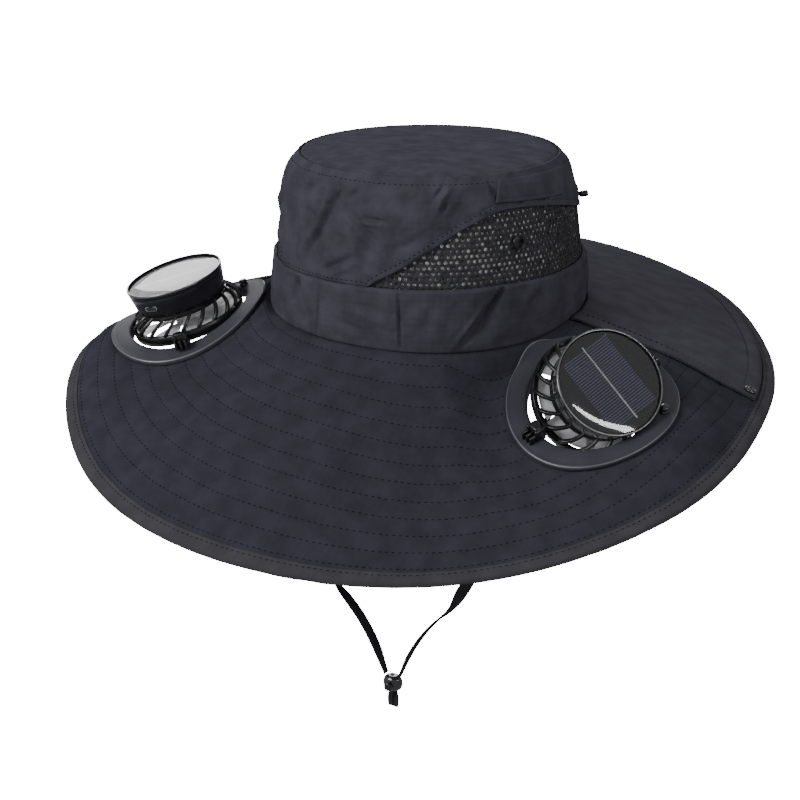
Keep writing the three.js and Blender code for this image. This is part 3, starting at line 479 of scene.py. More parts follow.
def principled(name, values):
    material = bpy.data.materials.new(name)
    material.use_nodes = True
    tree = material.node_tree
    shader = tree.nodes["Principled BSDF"]
    set_inputs(shader, values)
    return material, tree.nodes, tree.links, shader


def set_inputs(node, values):
    for name, value in values.items():
        node.inputs[name].default_value = value


def colour_noise(nodes, links, shader, dark, light, scale, detail=4.0):
    """Base colour that wanders between two colours."""
    where = nodes.new("ShaderNodeTexCoord")
    grain = nodes.new("ShaderNodeTexNoise")
    set_inputs(grain, {"Scale": scale, "Detail": detail})
    ramp = nodes.new("ShaderNodeValToRGB")
    for element, position, colour in zip(ramp.color_ramp.elements, (0.35, 0.68), (dark, light)):
        element.position = position
        element.color = (*colour, 1)
    links.new(where.outputs["Object"], grain.inputs["Vector"])
    links.new(grain.outputs["Fac"], ramp.inputs["Fac"])
    links.new(ramp.outputs["Color"], shader.inputs["Base Color"])
    return where


def add_bump(nodes, links, shader, height, strength, distance):
    bump = nodes.new("ShaderNodeBump")
    set_inputs(bump, {"Strength": strength, "Distance": distance * MM})
    links.new(height, bump.inputs["Height"])
    links.new(bump.outputs["Normal"], shader.inputs["Normal"])


def weave_bump(nodes, links, shader, where, pitch, strength):
    """Threads along the three axes, as a bump."""
    height = None
    for axis in ("X", "Y", "Z"):
        wave = nodes.new("ShaderNodeTexWave")
        wave.wave_type = "BANDS"
        wave.bands_direction = axis
        set_inputs(wave, {"Scale": 1 / (pitch * MM) / 20, "Distortion": 1.2, "Detail": 1.0})
        links.new(where.outputs["Object"], wave.inputs["Vector"])
        if height is None:
            height = wave.outputs["Fac"]
            continue
        add = nodes.new("ShaderNodeMath")
        add.operation = "ADD"
        links.new(height, add.inputs[0])
        links.new(wave.outputs["Fac"], add.inputs[1])
        height = add.outputs[0]
    add_bump(nodes, links, shader, height, strength, THREAD_RELIEF)


def cloth(name, dark, light, pitch=0.55, bump=0.35, scale=90):
    values = {"Roughness": 0.9, "Specular IOR Level": 0.0}
    material, nodes, links, shader = principled(name, values)
    where = colour_noise(nodes, links, shader, dark, light, scale)
    weave_bump(nodes, links, shader, where, pitch, bump)
    return material


def moulded(name, dark, light, roughness, bump=0.1, coat=0.0, specular=0.5):
    """Plastic with a fine texture."""
    values = {"Roughness": roughness, "Coat Weight": coat, "Coat Roughness": 0.03,
              "Specular IOR Level": specular}
    material, nodes, links, shader = principled(name, values)
    where = colour_noise(nodes, links, shader, dark, light, 60, 2.0)
    speck = nodes.new("ShaderNodeTexNoise")
    set_inputs(speck, {"Scale": 900, "Detail": 2.0})
    links.new(where.outputs["Object"], speck.inputs["Vector"])
    add_bump(nodes, links, shader, speck.outputs["Fac"], bump, MOULD_RELIEF)
    return material


def plated(name, colour, roughness):
    values = {"Metallic": 1.0, "Roughness": roughness}
    material, nodes, links, shader = principled(name, values)
    colour_noise(nodes, links, shader, [c * 0.8 for c in colour], colour, 400, 2.0)
    return material


def clear(name):
    values = {"Base Color": (0.01, 0.011, 0.014, 1), "Roughness": 0.05, "Alpha": 0.35, "IOR": 2.3}
    return principled(name, values)[0]


CROWN_CLOTH_LOOK = cloth("crown_cloth_look", (0.046, 0.044, 0.057), (0.064, 0.061, 0.08), 0.5, 0.3)
BRIM_CLOTH_LOOK = cloth("brim_cloth_look", (0.033, 0.032, 0.043), (0.042, 0.041, 0.055), 0.6, 0.35)
FLAP_LOOK = cloth("flap_cloth_look", (0.05, 0.048, 0.06), (0.062, 0.06, 0.074), 0.45, 0.2)
BINDING_LOOK = cloth("binding_look", (0.05, 0.048, 0.056), (0.062, 0.06, 0.068), 0.5, 0.4)
# Thread made darker than the cloth it matches: painted shade of its groove and needle holes
THREAD_SHADE_LOOK = cloth("thread_painted_shade_look", (0.008, 0.008, 0.014), (0.014, 0.014, 0.022), 0.3, 0.2)
NET_LOOK = cloth("net_look", (0.032, 0.032, 0.037), (0.056, 0.055, 0.062), 0.4, 0.3, 300)
# Sheets behind the nets: a pale one painted with the light seen through the holes, a dark one painted with
# shade
NET_PAINTED_LIGHT_LOOK = cloth("net_painted_light_look", (0.06, 0.06, 0.065), (0.9, 0.9, 0.91), 0.4, 0.2, 330)
SHADED_LOOK = cloth("net_shaded_look", (0.03, 0.03, 0.035), (0.3, 0.3, 0.31), 0.4, 0.2, 330)
WEBBING_LOOK = cloth("webbing_look", (0.022, 0.022, 0.025), (0.036, 0.036, 0.04), 0.7, 0.6)
FLANGE_LOOK = moulded("flange_look", (0.045, 0.044, 0.057), (0.054, 0.053, 0.067), 0.6, 0.2, specular=0.1)
# Lighter plastic on the flange's rounded edge: a painted highlight
EDGE_HIGHLIGHT_LOOK = moulded("flange_edge_highlight_look", (0.1, 0.1, 0.115), (0.13, 0.13, 0.145), 0.35, 0.05)
# Lighter plated look on the housing's black rim: a painted highlight
RIM_HIGHLIGHT_LOOK = plated("housing_rim_highlight_look", (0.2, 0.2, 0.21), 0.3)
GLOSS_LOOK = moulded("gloss_black_look", (0.016, 0.016, 0.02), (0.024, 0.024, 0.029), 0.22, 0.0, coat=0.5)
SATIN_LOOK = moulded("satin_black_look", (0.006, 0.006, 0.008), (0.012, 0.012, 0.014), 0.3, 0.08)
BLADE_LOOK = moulded("blade_look", (0.88, 0.88, 0.9), (0.96, 0.96, 0.98), 0.5, 0.1)
CELL_LOOK = moulded("cell_look", (0.014, 0.017, 0.06), (0.026, 0.03, 0.1), 0.5, 0.0, specular=0.1)
LINE_LOOK = moulded("cell_line_look", (0.28, 0.3, 0.48), (0.34, 0.36, 0.55), 0.5, 0.0, specular=0.1)
BUSBAR_LOOK = plated("busbar_look", (1.0, 1.0, 1.0), 0.38)
METAL_LOOK = plated("metal_look", (0.6, 0.6, 0.62), 0.25)
DARK_METAL_LOOK = plated("dark_metal_look", (0.1, 0.1, 0.11), 0.3)
DISH_LOOK = moulded("dish_black_look", (0.006, 0.006, 0.008), (0.009, 0.009, 0.012), 0.7, 0.0, specular=0.05)
CLEAR_LOOK = clear("clear_cover_look")

# Camera, lights and floor

CAMERA_DISTANCE = 896.7
CAMERA_ELEVATION = 16.89
CAMERA_AZIMUTH = 26.49
FOCAL_PIXELS = 1531.6
ORIGIN_PIXEL = (428.2, 299.0)
PICTURE = 800
SENSOR = 36

# The floor and the sweep that it rises into, in metres
FLOOR_LEVEL = -0.5
SWEEP_RADIUS = 3.0
FLAT_SHARE = 0.6
BEND_STEPS = 12
FLOOR_GLOW = 18.0
WORLD_STRENGTH = 0.42


def camera_axes(azimuth, elevation):
    back = np.array([math.sin(azimuth) * math.cos(elevation),
                     -math.cos(azimuth) * math.cos(elevation), math.sin(elevation)])
    right = np.array([math.cos(azimuth), math.sin(azimuth), 0.0])
    return right, np.cross(back, right), back


def make_camera():
    """Places the camera so that the hat's origin falls on its pixel, with the view level."""
    azimuth, elevation = math.radians(CAMERA_AZIMUTH), math.radians(CAMERA_ELEVATION)
    spot = camera_axes(azimuth, elevation)[2] * CAMERA_DISTANCE
    yaw = pitch = 0.0
    for _ in range(50):
        right, up, back = camera_axes(azimuth + yaw, elevation + pitch)
        away = np.dot(back, spot)
        x = PICTURE / 2 + FOCAL_PIXELS * np.dot(right, -spot) / away
        y = PICTURE / 2 - FOCAL_PIXELS * np.dot(up, -spot) / away
        yaw += (ORIGIN_PIXEL[0] - x) / FOCAL_PIXELS
        pitch += (y - ORIGIN_PIXEL[1]) / FOCAL_PIXELS
    data = bpy.data.cameras.new("camera")
    data.sensor_width = SENSOR
    data.lens = FOCAL_PIXELS * SENSOR / PICTURE
    data.clip_end = 50
    camera = bpy.data.objects.new("camera", data)
    turn = Matrix([[right[i], up[i], back[i]] for i in range(3)])
    camera.matrix_world = Matrix.Translation(Vector(spot * MM)) @ turn.to_4x4()
    bpy.context.scene.collection.objects.link(camera)
    bpy.context.scene.camera = camera


def softbox(name, place_m, aim, size, watts, long_way=(0, 0, 1), shape="RECTANGLE"):
    """An area light at a place in metres, with its second side along the long way."""
    data = bpy.data.lights.new(name, "AREA")
    data.shape = shape
    data.size, data.size_y = size
    data.energy = watts
    lamp = bpy.data.objects.new(name, data)
    back = (Vector(place_m) - Vector(aim)).normalized()
    along = Vector(long_way)
    along = (along - back * along.dot(back)).normalized()
    side = along.cross(back)
    turn = Matrix([[side[i], along[i], back[i]] for i in range(3)])
    lamp.matrix_world = Matrix.Translation(place_m) @ turn.to_4x4()
    bpy.context.scene.collection.objects.link(lamp)


def make_world():
    world = bpy.data.worlds.new("studio")
    world.use_nodes = True
    set_inputs(world.node_tree.nodes["Background"], {"Color": (1, 1, 1, 1), "Strength": WORLD_STRENGTH})
    bpy.context.scene.world = world


def make_lights():
    softbox("key_softbox", (-1.0, -1.5, 0.95), (0, 0, 0), (0.8, 0.8), 30)
    # This one shows as the bright crescent on the left fan's cover
    softbox("strip_softbox", (1.435, -0.532, 0.888), (0.14, -0.07, 0), (0.12, 0.92), 6,
            (0.75, 0.46, -0.47), "ELLIPSE")
    softbox("back_softbox", (-1.25, 1.5, 1.0), (-0.1, 0, 0), (1.3, 1.0), 32)


def make_floor():
    values = {"Base Color": (0.93, 0.93, 0.93, 1), "Roughness": 0.9, "Emission Color": (1, 1, 1, 1),
              "Emission Strength": FLOOR_GLOW}
    material = principled("floor_look", values)[0]
    mesh = bpy.data.meshes.new("floor")
    bend = SWEEP_RADIUS * (1 - FLAT_SHARE)
    profile = [(0, FLOOR_LEVEL), (SWEEP_RADIUS * FLAT_SHARE, FLOOR_LEVEL)]
    for step in range(1, BEND_STEPS + 1):
        angle = math.radians(90 * step / BEND_STEPS)
        profile.append((SWEEP_RADIUS - bend * (1 - math.sin(angle)),
                        FLOOR_LEVEL + bend * (1 - math.cos(angle))))
    profile.append((SWEEP_RADIUS, SWEEP_RADIUS * 2))
    points, faces = lathe(profile, 96)
    mesh.from_pydata(points.reshape(-1, 3).tolist(), [], faces.tolist())
    mesh.materials.append(material)
    mesh.shade_smooth()
    floor = bpy.data.objects.new("floor", mesh)
    floor.visible_diffuse = False
    floor.visible_glossy = False
    floor.visible_shadow = False
    bpy.context.scene.collection.objects.link(floor)
    floor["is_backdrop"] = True


# Chin strap

STRAP_STEPS = 150


def strap_path(side):
    route = np.array(STRAP_ROUTE, float) * (side, 1, 1)
    route[0, 2] = seam_height(90 * side) - BRIM_CLOTH - 3 * SEAM_GAP
    lengths = np.concatenate([[0], np.cumsum(np.linalg.norm(np.diff(route, axis=0), axis=1))])
    rows = [(at, *point) for at, point in zip(lengths, route)]
    places = np.linspace(0, lengths[-1], STRAP_STEPS + 1)
    return np.stack([through(rows, column, places) for column in (1, 2, 3)], 1)


def strap_half(name, side):
    """One half of the strap: a flat tape that twists once on its way to the slider."""
    path = strap_path(side)
    along = unit(np.gradient(path, axis=0))
    share = np.linspace(0, 1, len(path))
    flat = unit(np.cross(along, (0.0, -1.0, 0.0)))
    wide = unit(np.cross(flat, along))
    twist = np.radians(180) * smooth((share - 0.56) / 0.24) + np.radians(10) * np.sin(share * 9)
    ease = smooth((share - 0.93) / 0.07)
    turned_wide = wide * np.cos(twist)[:, None] + flat * np.sin(twist)[:, None]
    turned_flat = flat * np.cos(twist)[:, None] - wide * np.sin(twist)[:, None]
    section = np.array(round_corner((-1, -1), (1, 1), 0.6, 2))
    widths = (STRAP_WIDTH / 2) * (1 - 0.35 * ease)
    points, faces = tube(path, widths[:, None] * turned_wide, STRAP_THICK / 2 * turned_flat, section)
    pile = Pile()
    pile.add(points, faces)
    for end in (0, -1):
        pile.add_cap(points[end])
    piece = pile.make(name, [WEBBING_LOOK], "hat", [name.replace("chin_", "")])
    return piece, path


def cord_slider():
    """The slider that joins the strap: a barrel with two flutes and a spring button."""
    rows = [(0, -5.2), (2.6, -5.2), (3.4, -5.0), (4.6, -4.3), (5.6, -3.0), (6.1, -1.6), (6.25, 0),
            (6.1, 1.6), (5.6, 3.0), (4.6, 4.3), (3.4, 5.0), (2.6, 5.2), (1.6, 5.0), (0, 4.8)]
    points, faces = lathe(rows, 48)
    angle = np.arctan2(points[..., 1], points[..., 0])
    flute = 1 - 0.05 * np.exp(-((np.cos(angle) ** 2) / 0.02)) * (np.abs(points[..., 2]) < 4)
    points = points * np.stack([flute, 0.8 * flute, np.ones_like(flute)], -1) + LOCK_PLACE
    pile = Pile()
    pile.add(points, faces)
    barrel = pile.make("slider_barrel", [GLOSS_LOOK], "hat", ["cord_lock"])
    front = LOCK_PLACE[1] - LOCK_RADIUS * 0.8 - SEAM_GAP
    rows = [(0, 0), (2.5, 0), (2.6, 0.3), (2.6, 1.7), (2.3, 2.2), (1.4, 2.4), (0, 2.3)]
    points, faces = lathe(rows, 32)
    pile = Pile()
    pile.add(lain_over(points, -1) + (LOCK_PLACE[0], front, LOCK_PLACE[2]), faces)
    button = pile.make("slider_button", [SATIN_LOOK], "hat", ["lock_button"])
    return barrel, button


def strap_tail():
    """The two ends of the tape under the slider, side by side."""
    low = LOCK_PLACE[2] - LOCK_HEIGHT / 2 - SEAM_GAP
    pile = Pile()
    for side in (-1, 1):
        share = np.linspace(0, 1, 24)
        drop = TAIL_LENGTH * share * (1 if side > 0 else 0.93)
        path = np.stack([side * (0.5 + 1.2 * np.sin(share * 2.6)),
                         LOCK_PLACE[1] + 0.5 * side + 0 * share, low - drop], 1)
        along = unit(np.gradient(path, axis=0))
        flat = unit(np.cross(along, (1.0, 0.25 * side, 0.0)))
        wide = unit(np.cross(flat, along))
        section = np.array(round_corner((-1.9, -0.55), (1.9, 0.55), 0.35, 2))
        points, faces = tube(path, wide, flat, section)
        pile.add(points, faces)
        for end in (0, -1):
            pile.add_cap(points[end])
    return pile.make("chin_strap_tail", [WEBBING_LOOK], "hat", ["strap_tail"])


def chin_strap():
    barrel, button = cord_slider()
    pieces = {"left": [barrel, button], "right": [strap_tail()]}
    for name, side in (("left", 1), ("right", -1)):
        piece, path = strap_half(f"chin_strap_{name}", side)


# Crown pieces

CROWN_COLUMNS = 720

# Folds of the crown's cloth: turn and height of each end, width, depth (below nought is a ridge)
FOLD_ROWS = [
    (-15, 88, -10, 79, 2.4, 2.6), (-10, 79, -9, 74, 2.8, 2.6), (-9, 75, -14, 60, 3.2, 3.0),
    (-13.5, 61, -21, 46, 2.6, 2.6), (-21, 48, -22, 36, 3.4, 1.6), (-20, 81, -28, 74, 2.6, 1.4),
    (-4, 72, 9, 54, 1.8, 1.6), (3, 67, 11, 66.5, 1.2, 1.8), (-12, 37, -1, 46, 2.0, 2.0),
    (29, 79, 33.5, 87, 1.5, 2.0), (33, 76, 31, 71, 1.5, 1.6), (-33, 80, -30, 40, 4.5, 1.8),
    (12, 50, 27, 60, 3.4, 1.2), (16, 78, 42, 70, 4.0, 1.4), (0, 81, -4, 77, 1.8, 1.2),
    (72, 74, 84, 80, 2.4, 2.0), (60, 73, 66, 78, 2.0, 1.6), (50, 88, 52, 76, 1.6, 1.4),
    (4, 44, 14, 38, 2.2, 1.0), (-26, 66, -19, 62, 2.0, 1.2), (40, 64, 47, 69, 2.4, 1.0),
    (-52, 70, -60, 40, 5, 2.0), (-75, 78, -66, 72, 4, 1.6), (-44, 84, -50, 78, 3, 1.6),
    (110, 78, 118, 66, 4, 2.0), (140, 74, 150, 40, 5, 2.2), (160, 66, 172, 58, 3, 1.6),
    (175, 80, 168, 42, 5, 2.0), (205, 70, 214, 44, 4, 2.0), (225, 84, 216, 70, 3, 1.8),
    (-120, 80, -112, 70, 4, 1.6), (128, 60, 120, 48, 3, 1.4),
]


def fold_depth(turn, height, rows):
    """How far the cloth dips at each point for the folds in a table."""
    depth = 0.0
    across = np.radians(1) * SEAM_WIDTH / 2
    for turn_a, height_a, turn_b, height_b, wide, deep in rows:
        ax, ay = turn_a * across, height_a
        bx, by = (turn_b - turn_a) * across, height_b - height_a
        px = wrap(turn - turn_a) * across
        py = height - ay
        length = math.hypot(bx, by)
        share = np.clip((px * bx + py * by) / length ** 2, 0, 1)
        off = (px * by - py * bx) / length
        away = np.hypot(px - share * bx, py - share * by)
        taper = np.sin(np.pi * np.clip(share * 0.9 + 0.05, 0, 1)) ** 0.6
        dip = np.exp(-(away / wide) ** 2)
        bank = np.exp(-((off - 1.9 * wide) / wide) ** 2)
        bank = 0.45 * bank * np.exp(-(np.maximum(away - 3 * wide, 0) / wide) ** 2)
        depth = depth + deep * taper * (dip - bank)
    return depth


def crumple(turn, height, amount):
    """The cloth's own unevenness, in millimetres outwards."""
    where = crown_point(turn, height)
    wide = rough(where, 42, 2)
    fine = rough(where * (1.0, 1.0, 1.3) + 300, 13, 3)
    ridge = 1 - np.abs(rough(where * (1.0, 1.0, 0.7) + 900, 26, 2)) * 2
    sharp = 1 - np.abs(rough(where * (1.0, 1.0, 1.2) + 1700, 11, 2)) * 2
    return amount * (0.5 * wide + 0.25 * fine + 0.34 * ridge + 0.12 * sharp)


def crown_cloth(node, outer, inner, wrap_columns=True):
    """A cloth piece of the crown, from the points of its outer and its inner skin."""
    both = np.concatenate([outer, inner[::-1]])
    pile = Pile()
    pile.add(both, grid_faces(both.shape[1], len(both), wrap_columns, wrap_rows=True))
    return pile.make(f"{node}_cloth", [CROWN_CLOTH_LOOK], "hat", [node])


def window_low(turn):
    """Height of the side panel's lower edge: the band, or the net window's upper edge."""
    low = np.full(np.shape(turn), BAND_HEIGHT)
    for rows in WINDOW_ROWS.values():
        inside = (turn > rows[0][0]) & (turn < rows[-1][0])
        low = np.where(inside, np.maximum(low, through(rows, 1, turn) * CROWN_HEIGHT), low)
    return low


def crown_side():
    """The side panel, with a hem along each net window and a welt along the top seam."""
    turn = -180 + np.arange(CROWN_COLUMNS) * 360 / CROWN_COLUMNS
    low = window_low(turn)
    rows = np.linspace(0, 1, 64) ** 0.92
    height = mix(low[None], CROWN_HEIGHT, rows[:, None])
    turns = np.broadcast_to(turn, height.shape)
    open_edge = low > BAND_HEIGHT + 0.5
    hem = np.exp(-((height - low) / 3.2) ** 2) * open_edge
    groove = np.exp(-((height - low - 4.0) / 0.7) ** 2) * open_edge
    out = crown_side_out(turns, height) + 0.35 * hem - 0.25 * groove
    seam = np.exp(-((CROWN_HEIGHT - height) / 1.6) ** 2)
    out = out + 0.7 * seam * (1 + 0.25 * np.sin(np.radians(turns) * 61))
    inner = crown_point(turns, height, np.minimum(out, 0.4) - 0.9)
    crown_cloth("crown_side", crown_point(turns, height, out), inner)


# Folds of the band, in the same columns
BAND_FOLDS = [
    (54, 32, 47, 18, 1.3, 3.2), (47, 19, 38, 2, 1.8, 2.8), (51.5, 29, 44, 9, 2.4, 1.6),
    (-29, 30, -18, 6, 3.4, 2.2), (-24, 31, -25, 22, 2.2, 1.4), (16.6, 31, 17.4, 0, 0.8, 1.3),
    (-13.2, 31, -13.8, 0, 0.8, 0.9), (70, 27, 62, 10, 3.2, 1.6), (0, 22, 14, 18, 2.4, 1.0),
    (84, 30, 84, 6, 3.2, 1.4), (30, 26, 24, 8, 3.6, 1.0), (-6, 12, 4, 8, 2.4, 0.9),
    (-60, 26, -56, 4, 4, 1.4), (-95, 28, -100, 5, 4, 1.4), (120, 28, 112, 5, 4, 1.4),
    (160, 29, 166, 5, 4, 1.3), (-140, 28, -134, 6, 4, 1.3),
]


def band_foot(turn):
    """Height of the band's foot: on the seam, or higher where the brim rises beside it."""
    seam = seam_height(turn)
    beside = brim_point(turn, 0.025)[..., 2]
    return np.maximum(seam, mix(seam, beside, 0.6)) + 0.15


def crown_band():
    """The plain band, rolled at its upper edge and tucked in at its foot."""
    turn = -180 + np.arange(CROWN_COLUMNS) * 360 / CROWN_COLUMNS
    rows = np.linspace(0, 1, 34)
    foot = band_foot(turn)
    height = mix(foot[None], BAND_HEIGHT + 0.4, rows[:, None])
    turns = np.broadcast_to(turn, height.shape)
    fade = smooth((BAND_HEIGHT - height) / 3 + 0.35) * smooth((height - foot) / 5 + 0.15)
    out = crumple(turns, height, 1.3) * fade - fold_depth(turns, height, BAND_FOLDS) * fade
    roll = rounded((BAND_HEIGHT + 0.4 - height) / 1.3)
    tuck = rounded((height - foot) / 1.2)
    out = BAND_PROUD - 1.0 + roll * (0.3 + 0.7 * tuck) + out
    inner = crown_point(turns, height, np.minimum(out, 0.2) - 1.0)
    crown_cloth("crown_band", crown_point(turns, height, out), inner)


def crown_top():
    """The round panel: slightly domed, with a ditch and puckers along its seam."""
    columns = 360
    turn = np.arange(columns) * 360 / columns
    edge = np.linalg.norm(crown_point(turn, np.full(columns, CROWN_HEIGHT))[..., :2], axis=-1) - 0.2
    share = (1 - np.linspace(0, 1, 40) ** 1.15)[:, None]
    dome = TOP_RISE * (1 - share ** 2) + 0.25
    radius = edge[None] * share
    where = place(turn, radius, CROWN_HEIGHT)
    pucker = 0.35 * np.exp(-((1 - share) / 0.09) ** 2) * np.sin(np.radians(turn)[None] * 47)
    lumps = 1.0 * rough(where, 55, 2) * smooth((1 - share) / 0.2) + 0.25 * rough(where + 500, 14, 3)
    ditch = -0.9 * np.exp(-((1 - share) / 0.018) ** 2)
    height = CROWN_HEIGHT + dome + pucker * 0.6 + lumps * smooth((1 - share) / 0.04) + ditch
    crown_cloth("crown_top", place(turn, radius, height), place(turn, radius * 0.992, height - 1.0))


# The net: distance between holes, a hole's share of it, how far that share wanders, sides of a hole
NET_PITCH = 3.3
NET_HOLE = 0.56
NET_WANDER = 0.34
NET_SIDES = 12

# Turn at which the pale sheet behind each net, painted light seen through its holes, begins; before it the
# sheet is darker, painted shade
PAINTED_LIGHT_START = {"left": 16, "right": -154}


def net_holes(pile, side):
    """Round holes in staggered rows, each in a hexagon of net."""
    rows = WINDOW_ROWS[side]
    start, end = rows[0][0], rows[-1][0]
    across = np.radians(1) * SEAM_WIDTH / 2
    lift = NET_PITCH * math.sqrt(3) / 2
    ring = np.radians(np.arange(NET_SIDES) * 360 / NET_SIDES)
    # A hexagon's edge seen from its middle at each of the ring's angles
    hexagon = (NET_PITCH / 2) / np.cos((ring + math.pi / 6) % (math.pi / 3) - math.pi / 6)
    column_count = int((end - start) * across / NET_PITCH) + 2
    row_count = int((0.81 * CROWN_HEIGHT + 2 * lift - BAND_HEIGHT) / lift) + 1
    for j in range(row_count):
        z = BAND_HEIGHT - lift + j * lift
        for i in range(column_count):
            s = start * across + (i + 0.5 * (j % 2)) * NET_PITCH
            top = float(through(rows, 1, np.clip(s / across, start, end))) * CROWN_HEIGHT
            if z > top + lift or s / across > end + 1:
                continue
            wander = math.sin(i * 12.9898 + j * 78.233) * 43758.5453
            wander = (wander - math.floor(wander) - 0.5) * NET_WANDER
            hole = NET_PITCH / 2 * (NET_HOLE + wander)
            rim = np.stack([s + hexagon * np.cos(ring), z + hexagon * np.sin(ring)], 1)
            well = np.stack([s + hole * np.cos(ring), z + hole * np.sin(ring) * 0.92], 1)
            loops = [(rim, -1.25), (well, -1.1), (well, -1.45), (rim, -1.5)]
            points = [crown_point(loop[:, 0] / across, np.clip(loop[:, 1], 20, 86), out)
                      for loop, out in loops]
            pile.add(np.concatenate(points), grid_faces(NET_SIDES, 4, wrap_columns=True))


def crown_net(side):
    """A knitted net on a thin sheet painted with the light and the shade that show through its holes."""
    pile = Pile()
    net_holes(pile, side)
    rows = WINDOW_ROWS[side]
    start, end = rows[0][0], rows[-1][0]
    painted_light_start = PAINTED_LIGHT_START[side]
    # Slot 2 is the painted shade, slot 1 the painted light seen through the holes
    for slot, low_turn, high_turn in ((2, start - 1, painted_light_start), (1, painted_light_start, end + 1)):
        turn = np.linspace(low_turn, high_turn, 160)
        tops = through(rows, 1, np.clip(turn, start, end)) * CROWN_HEIGHT + 3
        height = mix(BAND_HEIGHT - 3, tops[None], np.linspace(0, 1, 12)[:, None])
        turns = np.broadcast_to(turn, height.shape)
        sheet = [crown_point(turns, height, -2.1), crown_point(turns, height, -2.4)[::-1]]
        pile.add(np.concatenate(sheet), grid_faces(len(turn), 24, wrap_rows=True), slot)
    looks = [NET_LOOK, NET_PAINTED_LIGHT_LOOK, SHADED_LOOK]
    return pile.make(f"crown_net_{side}", looks, "hat", [f"mesh_{side}"])


def surface_frame(turn, height, out, step=2.0):
    """A frame on the crown, so far out of it, with y upwards and z away from the cloth."""
    middle = crown_point(turn, height, out)
    round_ = crown_point(turn + step, height, out) - crown_point(turn - step, height, out)
    up = crown_point(turn, height + step, out) - crown_point(turn, height - step, out)
    normal = unit(np.cross(round_, up))
    up = unit(up - normal * up.dot(normal))
    return dict(at=middle, z=normal, y=up, x=np.cross(up, normal))


def eyelet(side, turn):
    """A pressed eyelet: a rolled rim, a groove, an inner ring and its bore."""
    rows = [(4.2, -0.2), (4.3, 0.5), (4.1, 1.0), (3.6, 1.35), (3.1, 1.2), (2.9, 0.8), (2.75, 0.8),
            (2.6, 1.3), (2.3, 1.45), (2.05, 1.2), (1.9, 0.4), (1.9, -0.2), (4.2, -0.2)]
    where = surface_frame(float(turn), EYELET_HEIGHT, 0.3)
    turned_piece(f"eyelet_ring_{side}", SATIN_LOOK, "hat", f"eyelet_{side}",
                 rows, 48, where)


def side_patch():
    """The stitched patch under the top seam, with a turned edge."""
    u = np.linspace(0, 1, 60)[None]
    v = np.linspace(0, 1, 26)[:, None]
    low = [mix(PATCH_LOW[0][k], PATCH_LOW[1][k], u) for k in (0, 1)]
    high = [mix(PATCH_HIGH[0][k], PATCH_HIGH[1][k], u) for k in (0, 1)]
    turn = mix(low[0], high[0], v)
    height = mix(low[1], high[1], v) * CROWN_HEIGHT
    edge = np.minimum(np.minimum(u, 1 - u) * 50, np.minimum(v, 1 - v) * 12)
    rise = 0.5 + 0.8 * rounded(edge / 0.8) - 0.3 * np.exp(-((edge - 2.0) / 0.5) ** 2)
    out = rise + crumple(turn, height, 2.0) * smooth((CROWN_HEIGHT - height) / 6)
    out = np.maximum(out, 0.55)
    inner = crown_point(turn, height, out - 0.5)
    crown_cloth("side_patch", crown_point(turn, height, out), inner, wrap_columns=False)


# Stitches: pitch, length and thickness of the thread
CROWN_THREAD = (2.9, 1.9, 0.24)
BRIM_THREAD = (3.3, 2.2, 0.3)
HEM_THREAD = (3.1, 2.1, 0.28)

# Stitch lines that go round the crown: turn and height of each end
SEAM_STITCH = 3.4
CROWN_STITCHES = [
    [(-180, CROWN_HEIGHT - SEAM_STITCH), (180, CROWN_HEIGHT - SEAM_STITCH)],
    [(-180, BAND_HEIGHT + 2.4), (12, BAND_HEIGHT + 2.4)],
]


def crown_side_out(turn, height):
    """How far the side panel's cloth stands out of the solids' surface."""
    low = window_low(turn)
    fade = smooth((CROWN_HEIGHT - height) / 6) * smooth((height - low) / 4 + 0.25)
    return (crumple(turn, height, 2.0) - fold_depth(turn, height, FOLD_ROWS)) * fade


def crown_stitches():
    """Thread along the top seam, by the band and along each net window's hem."""
    lines = CROWN_STITCHES + [[(turn, share * CROWN_HEIGHT + SEAM_STITCH) for turn, share in rows]
                              for rows in WINDOW_ROWS.values()]
    pile = Pile()
    for corners in lines:
        ends = [corner[0] for corner in corners]
        turn = np.arange(ends[0], ends[-1], 0.25)
        height = np.interp(turn, ends, [corner[1] for corner in corners])
        out = crown_side_out(turn, height)
        line = crown_point(turn, height, out + 0.12)
        normals = crown_point(turn, height, 1.0) - crown_point(turn, height, 0.0)
        keep = (height > window_low(turn) + 1.5) & (height < CROWN_HEIGHT - 1)
        for a, b in runs_of(keep):
            dashes(pile, line[a:b], normals[a:b], CROWN_THREAD)
    return pile.make("crown_stitches", [THREAD_SHADE_LOOK], "hat", ())


def rear_toggle():
    rows = [(0, 0), (1.2, 0.1), (1.8, 0.7), (1.9, 1.6), (1.75, 2.8), (1.9, 4.0), (1.8, 4.9), (1.2, 5.4),
            (0, 5.5)]
    where = surface_frame(116.0, 0.71 * CROWN_HEIGHT, 0.4)
    turned_piece("rear_toggle_end", SATIN_LOOK, "hat", "rear_toggle", rows, 28, where)


# Brim pieces

# Stitch rows of the brim, and the shares of its run at which the first and the last one lie
STITCH_ROWS = 12
FIRST_ROW = 0.045
LAST_ROW = 0.925
BRIM_COLUMNS = 720


def stitch_shares():
    return [FIRST_ROW + (LAST_ROW - FIRST_ROW) * k / (STITCH_ROWS - 1) for k in range(STITCH_ROWS)]


def row_stations(fine):
    """Shares of the brim's run at which the sheet has points, close together by each stitch row."""
    offsets = (-0.014, -0.007, -0.003, 0, 0.003, 0.007, 0.014) if fine else (-0.01, 0, 0.01)
    stations = {-0.012, 0.0, 0.018, 0.952}
    for share in stitch_shares():
        stations.update(share + offset for offset in offsets)
    for a, b in zip(stitch_shares(), stitch_shares()[1:]):
        stations.add((a + b) / 2)
    return np.array(sorted(stations))


